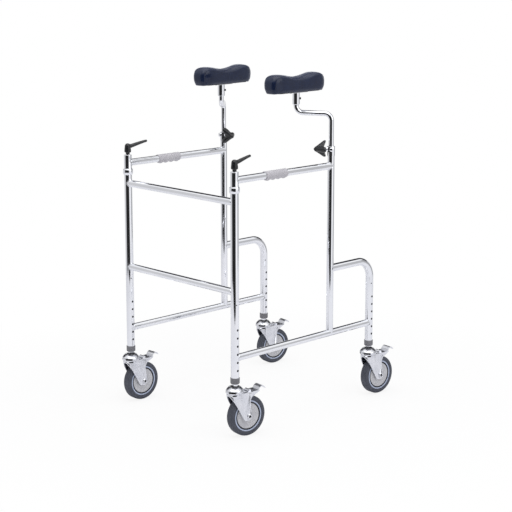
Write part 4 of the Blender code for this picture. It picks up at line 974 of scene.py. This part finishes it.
def pad_shell():
    """The pad's closed form: straight foot, full sides, a firm edge and two humps with a dip between."""
    # the plan's scale, and the shares of the pad's height over a hump and over the dip
    levels = smooth_path([(0.905, 0.0, 0.0), (0.95, 0.09, 0.09), (0.98, 0.2, 0.2), (1.0, 0.42, 0.42),
            (0.998, 0.66, 0.6), (0.98, 0.805, 0.725), (0.93, 0.9, 0.835), (0.81, 0.953, 0.915),
            (0.58, 0.985, 0.975), (0.26, 1.0, 1.0), (0.02, 1.0, 1.0)], 3)
    half_length, half_width = PAD_LENGTH / 2 - PAD_SHRINK, PAD_WIDTH / 2 - PAD_SHRINK
    shape = bmesh.new()
    rings = [[shape.verts.new((x, y, PAD_BASE - PAD_WRAP - hang(y)))
            for x, y in pad_outline(half_length - 0.006, half_width * 0.86)]]
    for scale, at_hump, at_dip in levels:
        ring = []
        for x, y in pad_outline(half_length - (1 - scale) * 0.04 - end_draw(at_hump), half_width * scale):
            hump = min(1.0, hump_at(y) + max(0.0, (abs(y) - HUMP_Y) / 0.03))
            share = at_dip + (at_hump - at_dip) * hump
            z = PAD_BASE + share * (pad_top(y) - PAD_SHRINK) - hang(y) * (1 - share) ** 4
            ring.append(shape.verts.new((x, y, z)))
        rings.append(ring)
    skin(shape, rings, ends=(0,))
    # the last ring is a narrow strip: it closes across, from the rear end's middle to the front end's
    crest, count = rings[-1], len(rings[-1])
    rear_middle = count - 10
    for step in range(count // 2):
        corners = [crest[(rear_middle + turn) % count] for turn in (step, step + 1, -step - 1, -step)]
        shape.faces.new(list(dict.fromkeys(corners)))
    bmesh.ops.recalc_face_normals(shape, faces=shape.faces)
    return shape


def coordinates_of(mesh):
    found = np.zeros(len(mesh.vertices) * 3)
    mesh.vertices.foreach_get("co", found)
    return found.reshape(-1, 3)


def keep_up(points):
    """Lifts what is under the cover's foot to it."""
    foot = PAD_BASE - PAD_WRAP - np.array([hang(y) for y in points[:, 1]])
    points[:, 2] = np.maximum(points[:, 2], foot)


def puffed(mesh):
    """The cover blown up a little over its filling, with its foot held to the board."""
    thing = linked("pad_cloth", mesh)
    thing.data = modify(thing, ("REMESH", {"mode": "VOXEL", "voxel_size": 0.0036}))
    thing.modifiers.clear()
    points = coordinates_of(thing.data)
    held = thing.vertex_groups.new(name="held")
    for number in np.nonzero(points[:, 2] < PAD_BASE + 0.0035)[0]:
        held.add([int(number)], 1.0, "REPLACE")
    cloth = thing.modifiers.new("cloth", "CLOTH")
    give(cloth.settings, CLOTH)
    cloth.settings.effector_weights.gravity = 0.0
    cloth.point_cache.frame_start, cloth.point_cache.frame_end = 1, CLOTH_FRAMES
    scene.frame_start, scene.frame_end = 1, CLOTH_FRAMES
    for number in range(1, CLOTH_FRAMES + 1):
        scene.frame_set(number)
    step = coordinates_of(modify(thing)) - points
    scene.frame_set(1)
    thing.modifiers.clear()
    length = np.linalg.norm(step, axis=1, keepdims=True)
    points = points + step * np.minimum(1.0, PUFF_CAP / np.maximum(length, 1e-9))
    keep_up(points)
    thing.data.vertices.foreach_set("co", points.ravel())
    thing.data.update()
    result = modify(thing, ("SMOOTH", {"iterations": 2, "factor": 0.5}),
            ("SUBSURF", {"levels": 1, "render_levels": 1}))
    bpy.data.objects.remove(thing)
    return result


def crease(points, seed):
    """Short folds that fan from the corners and across the dip's flanks, and a soft unevenness."""
    for point in points:
        x, y, z = point
        flank = min(1.0, abs(x) / (PAD_WIDTH / 2))
        rise = min(1.0, max(0.0, z - PAD_BASE - 0.004) / 0.01)
        corner = exp(-((abs(y) - 0.104) / 0.013) ** 2) * flank ** 3
        dip = exp(-(y / 0.03) ** 2) * flank ** 2
        fold = noise.noise(Vector((x * 60, y * 210, z * 40 + seed)))
        soft = noise.noise(Vector((x * 26, y * 26, z * 26 + 3.1)))
        push = rise * (0.001 * corner * fold + 0.0006 * dip * fold + 0.0005 * soft)
        outward = Vector((x, y * 0.12, 0.0))
        if outward.length > 1e-6:
            outward.normalize()
        point += push * np.array((outward.x, outward.y, 0.3 * (1 - flank)))


def arm_pad(side):
    """The padded cover, in place of the cushion."""
    name = side + "_pad_cushion"
    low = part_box(name)[0]
    middle = at_level(centre(name), low.z)
    mesh = puffed(mesh_of(pad_shell(), "pad"))
    points = coordinates_of(mesh)
    crease(points, 7.0 if side == "left" else 19.0)
    keep_up(points)
    turn = radians(PAD_ANGLE[side])
    cosine, sine = cos(turn), sin(turn)
    placed = np.stack([middle.x + points[:, 0] * cosine - points[:, 1] * sine,
            middle.y + points[:, 0] * sine + points[:, 1] * cosine,
            middle.z + points[:, 2] - PAD_BASE], axis=1)
    mesh.vertices.foreach_set("co", placed.ravel())
    mesh.update()
    made = linked(side + "_pad_cover", mesh)
    mesh.materials.clear()
    mesh.materials.append(LEATHER)
    mesh.shade_smooth()
    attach(made, side + "_pad")
    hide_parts(name)
    pad_seams(side, mesh, middle, turn)


def pad_seams(side, mesh, middle, turn):
    """A sewn seam up each of the pad's four corners."""
    shape = bmesh.new()
    shape.from_mesh(mesh)
    tree = BVHTree.FromBMesh(shape)
    shape.free()
    spin = Matrix.Rotation(turn, 3, "Z")
    lowest, highest, steps = 0.0035, 0.0445, 14
    thread = bmesh.new()
    for x, y in ((-1, -1), (-1, 1), (1, -1), (1, 1)):
        out = spin @ Vector((x * 0.72, y * 0.69, 0)).normalized()
        inside = at_level(middle, 0) + spin @ Vector((x * 0.004, y * 0.088, 0))
        path = []
        for step in range(steps + 1):
            z = middle.z + lowest + (highest - lowest) * step / steps
            found = tree.ray_cast(at_level(inside, z), out)[0]
            if found is not None:
                path.append(found - out * 0.00015)
        if len(path) > 4:
            tube(smooth_path(path, 2), 0.00065, 8, thread)
    piece(side + "_pad_seams", thread, SEAM, side + "_pad", smooth=60)


# ---- screws, rivets, welds, painted shade in the leg holes
def small_details(side):
    """Discs of painted shade in the open leg holes, the screw in the pad's sleeve and the two rivets."""
    post, rear, sleeve = POST[side], REAR[side], PAD_AXIS[side]
    shade_discs = bmesh.new()
    # A near-black disc in each open hole: painted shade for the hole's shaded inside.
    for end, y in (("front", post.y), ("rear", rear.y)):
        button = centre(side + "_" + end + "_snap_button").z
        for z in HOLE_LEVELS:
            if abs(z - button) >= HOLE_PITCH / 2:
                put = pointing((post.x + LEG_BORE + 0.0001, y, z), (1, 0, 0))
                lathe([(0, 0.0004), (0.00345, 0.0004), (0.00345, 0.0), (0, 0.0)], 20, put, shade_discs)
    piece(side + "_hole_shade_discs", shade_discs, PAINTED_SHADE, side + "_side")

    out = toward(SCREW_ANGLE)
    place = at_level(sleeve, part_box(side + "_pad_bracket")[1].z - 0.0205) + out * 0.0114
    screw = [(0, 0.0016), (0.0016, 0.0016), (0.0018, 0.0034), (0.0028, 0.0036), (0.0034, 0.003),
            (0.0035, 0.0), (0, 0.0)]
    piece(side + "_sleeve_screw", lathe(screw, 24, pointing(place, out)), SCREW, side + "_pad")

    rivets = bmesh.new()
    out = toward(RIVET_ANGLE)
    for leg, z in ((rear, 0.3785), (post, 0.411)):
        lathe([(0, 0.001), (0.0012, 0.0008), (0.002, 0.0), (0.0, -0.0005)], 16,
              pointing(at_level(leg, z) + out * 0.0124, out), rivets)
    piece(side + "_leg_rivets", rivets, SCREW, side + "_side")


def weld_bead(shape, hub, ahead, bar, hub_radius=POST_RADIUS, bar_radius=RAIL_RADIUS):
    """A small fillet of weld round a rail's end, where it saddles an upright tube."""
    middle = at_level(hub, centre(bar).z)
    path = []
    for u, w in circle(bar_radius + 0.0003, 32):
        reach = sqrt(max(hub_radius ** 2 - u ** 2, 1e-9)) + 0.0004
        path.append(middle + ahead * reach + left_of(ahead) * u + Vector((0, 0, w)))
    tube(path, 0.0011, 8, shape, closed=True)


def welds():
    rearward, leftward = Vector((0, 1, 0)), Vector((1, 0, 0))
    for side in SIDES:
        top, bottom = side + "_top_rail", side + "_bottom_rail"
        shape = bmesh.new()
        weld_bead(shape, POST[side], rearward, top)
        weld_bead(shape, ARM[side], -rearward, top, ARM_POST_RADIUS, 0.0109)
        weld_bead(shape, POST[side], rearward, bottom)
        weld_bead(shape, REAR[side], -rearward, bottom)
        piece(side + "_side_welds", shape, CHROME, side + "_side", smooth=60)
    shape = bmesh.new()
    for bar in CROSSBARS:
        weld_bead(shape, POST["left"], -leftward, bar)
        weld_bead(shape, POST["right"], leftward, bar)
    piece("crossbar_welds", shape, CHROME, "front_frame", smooth=60)


frame_tubes()
for place in PLACES:
    wheel(place)
    caster_details(place)
for side in SIDES:
    star_knob(side)
    clamp_lever(side)
    hand_grip(side)
    arm_pad(side)
    small_details(side)
welds()
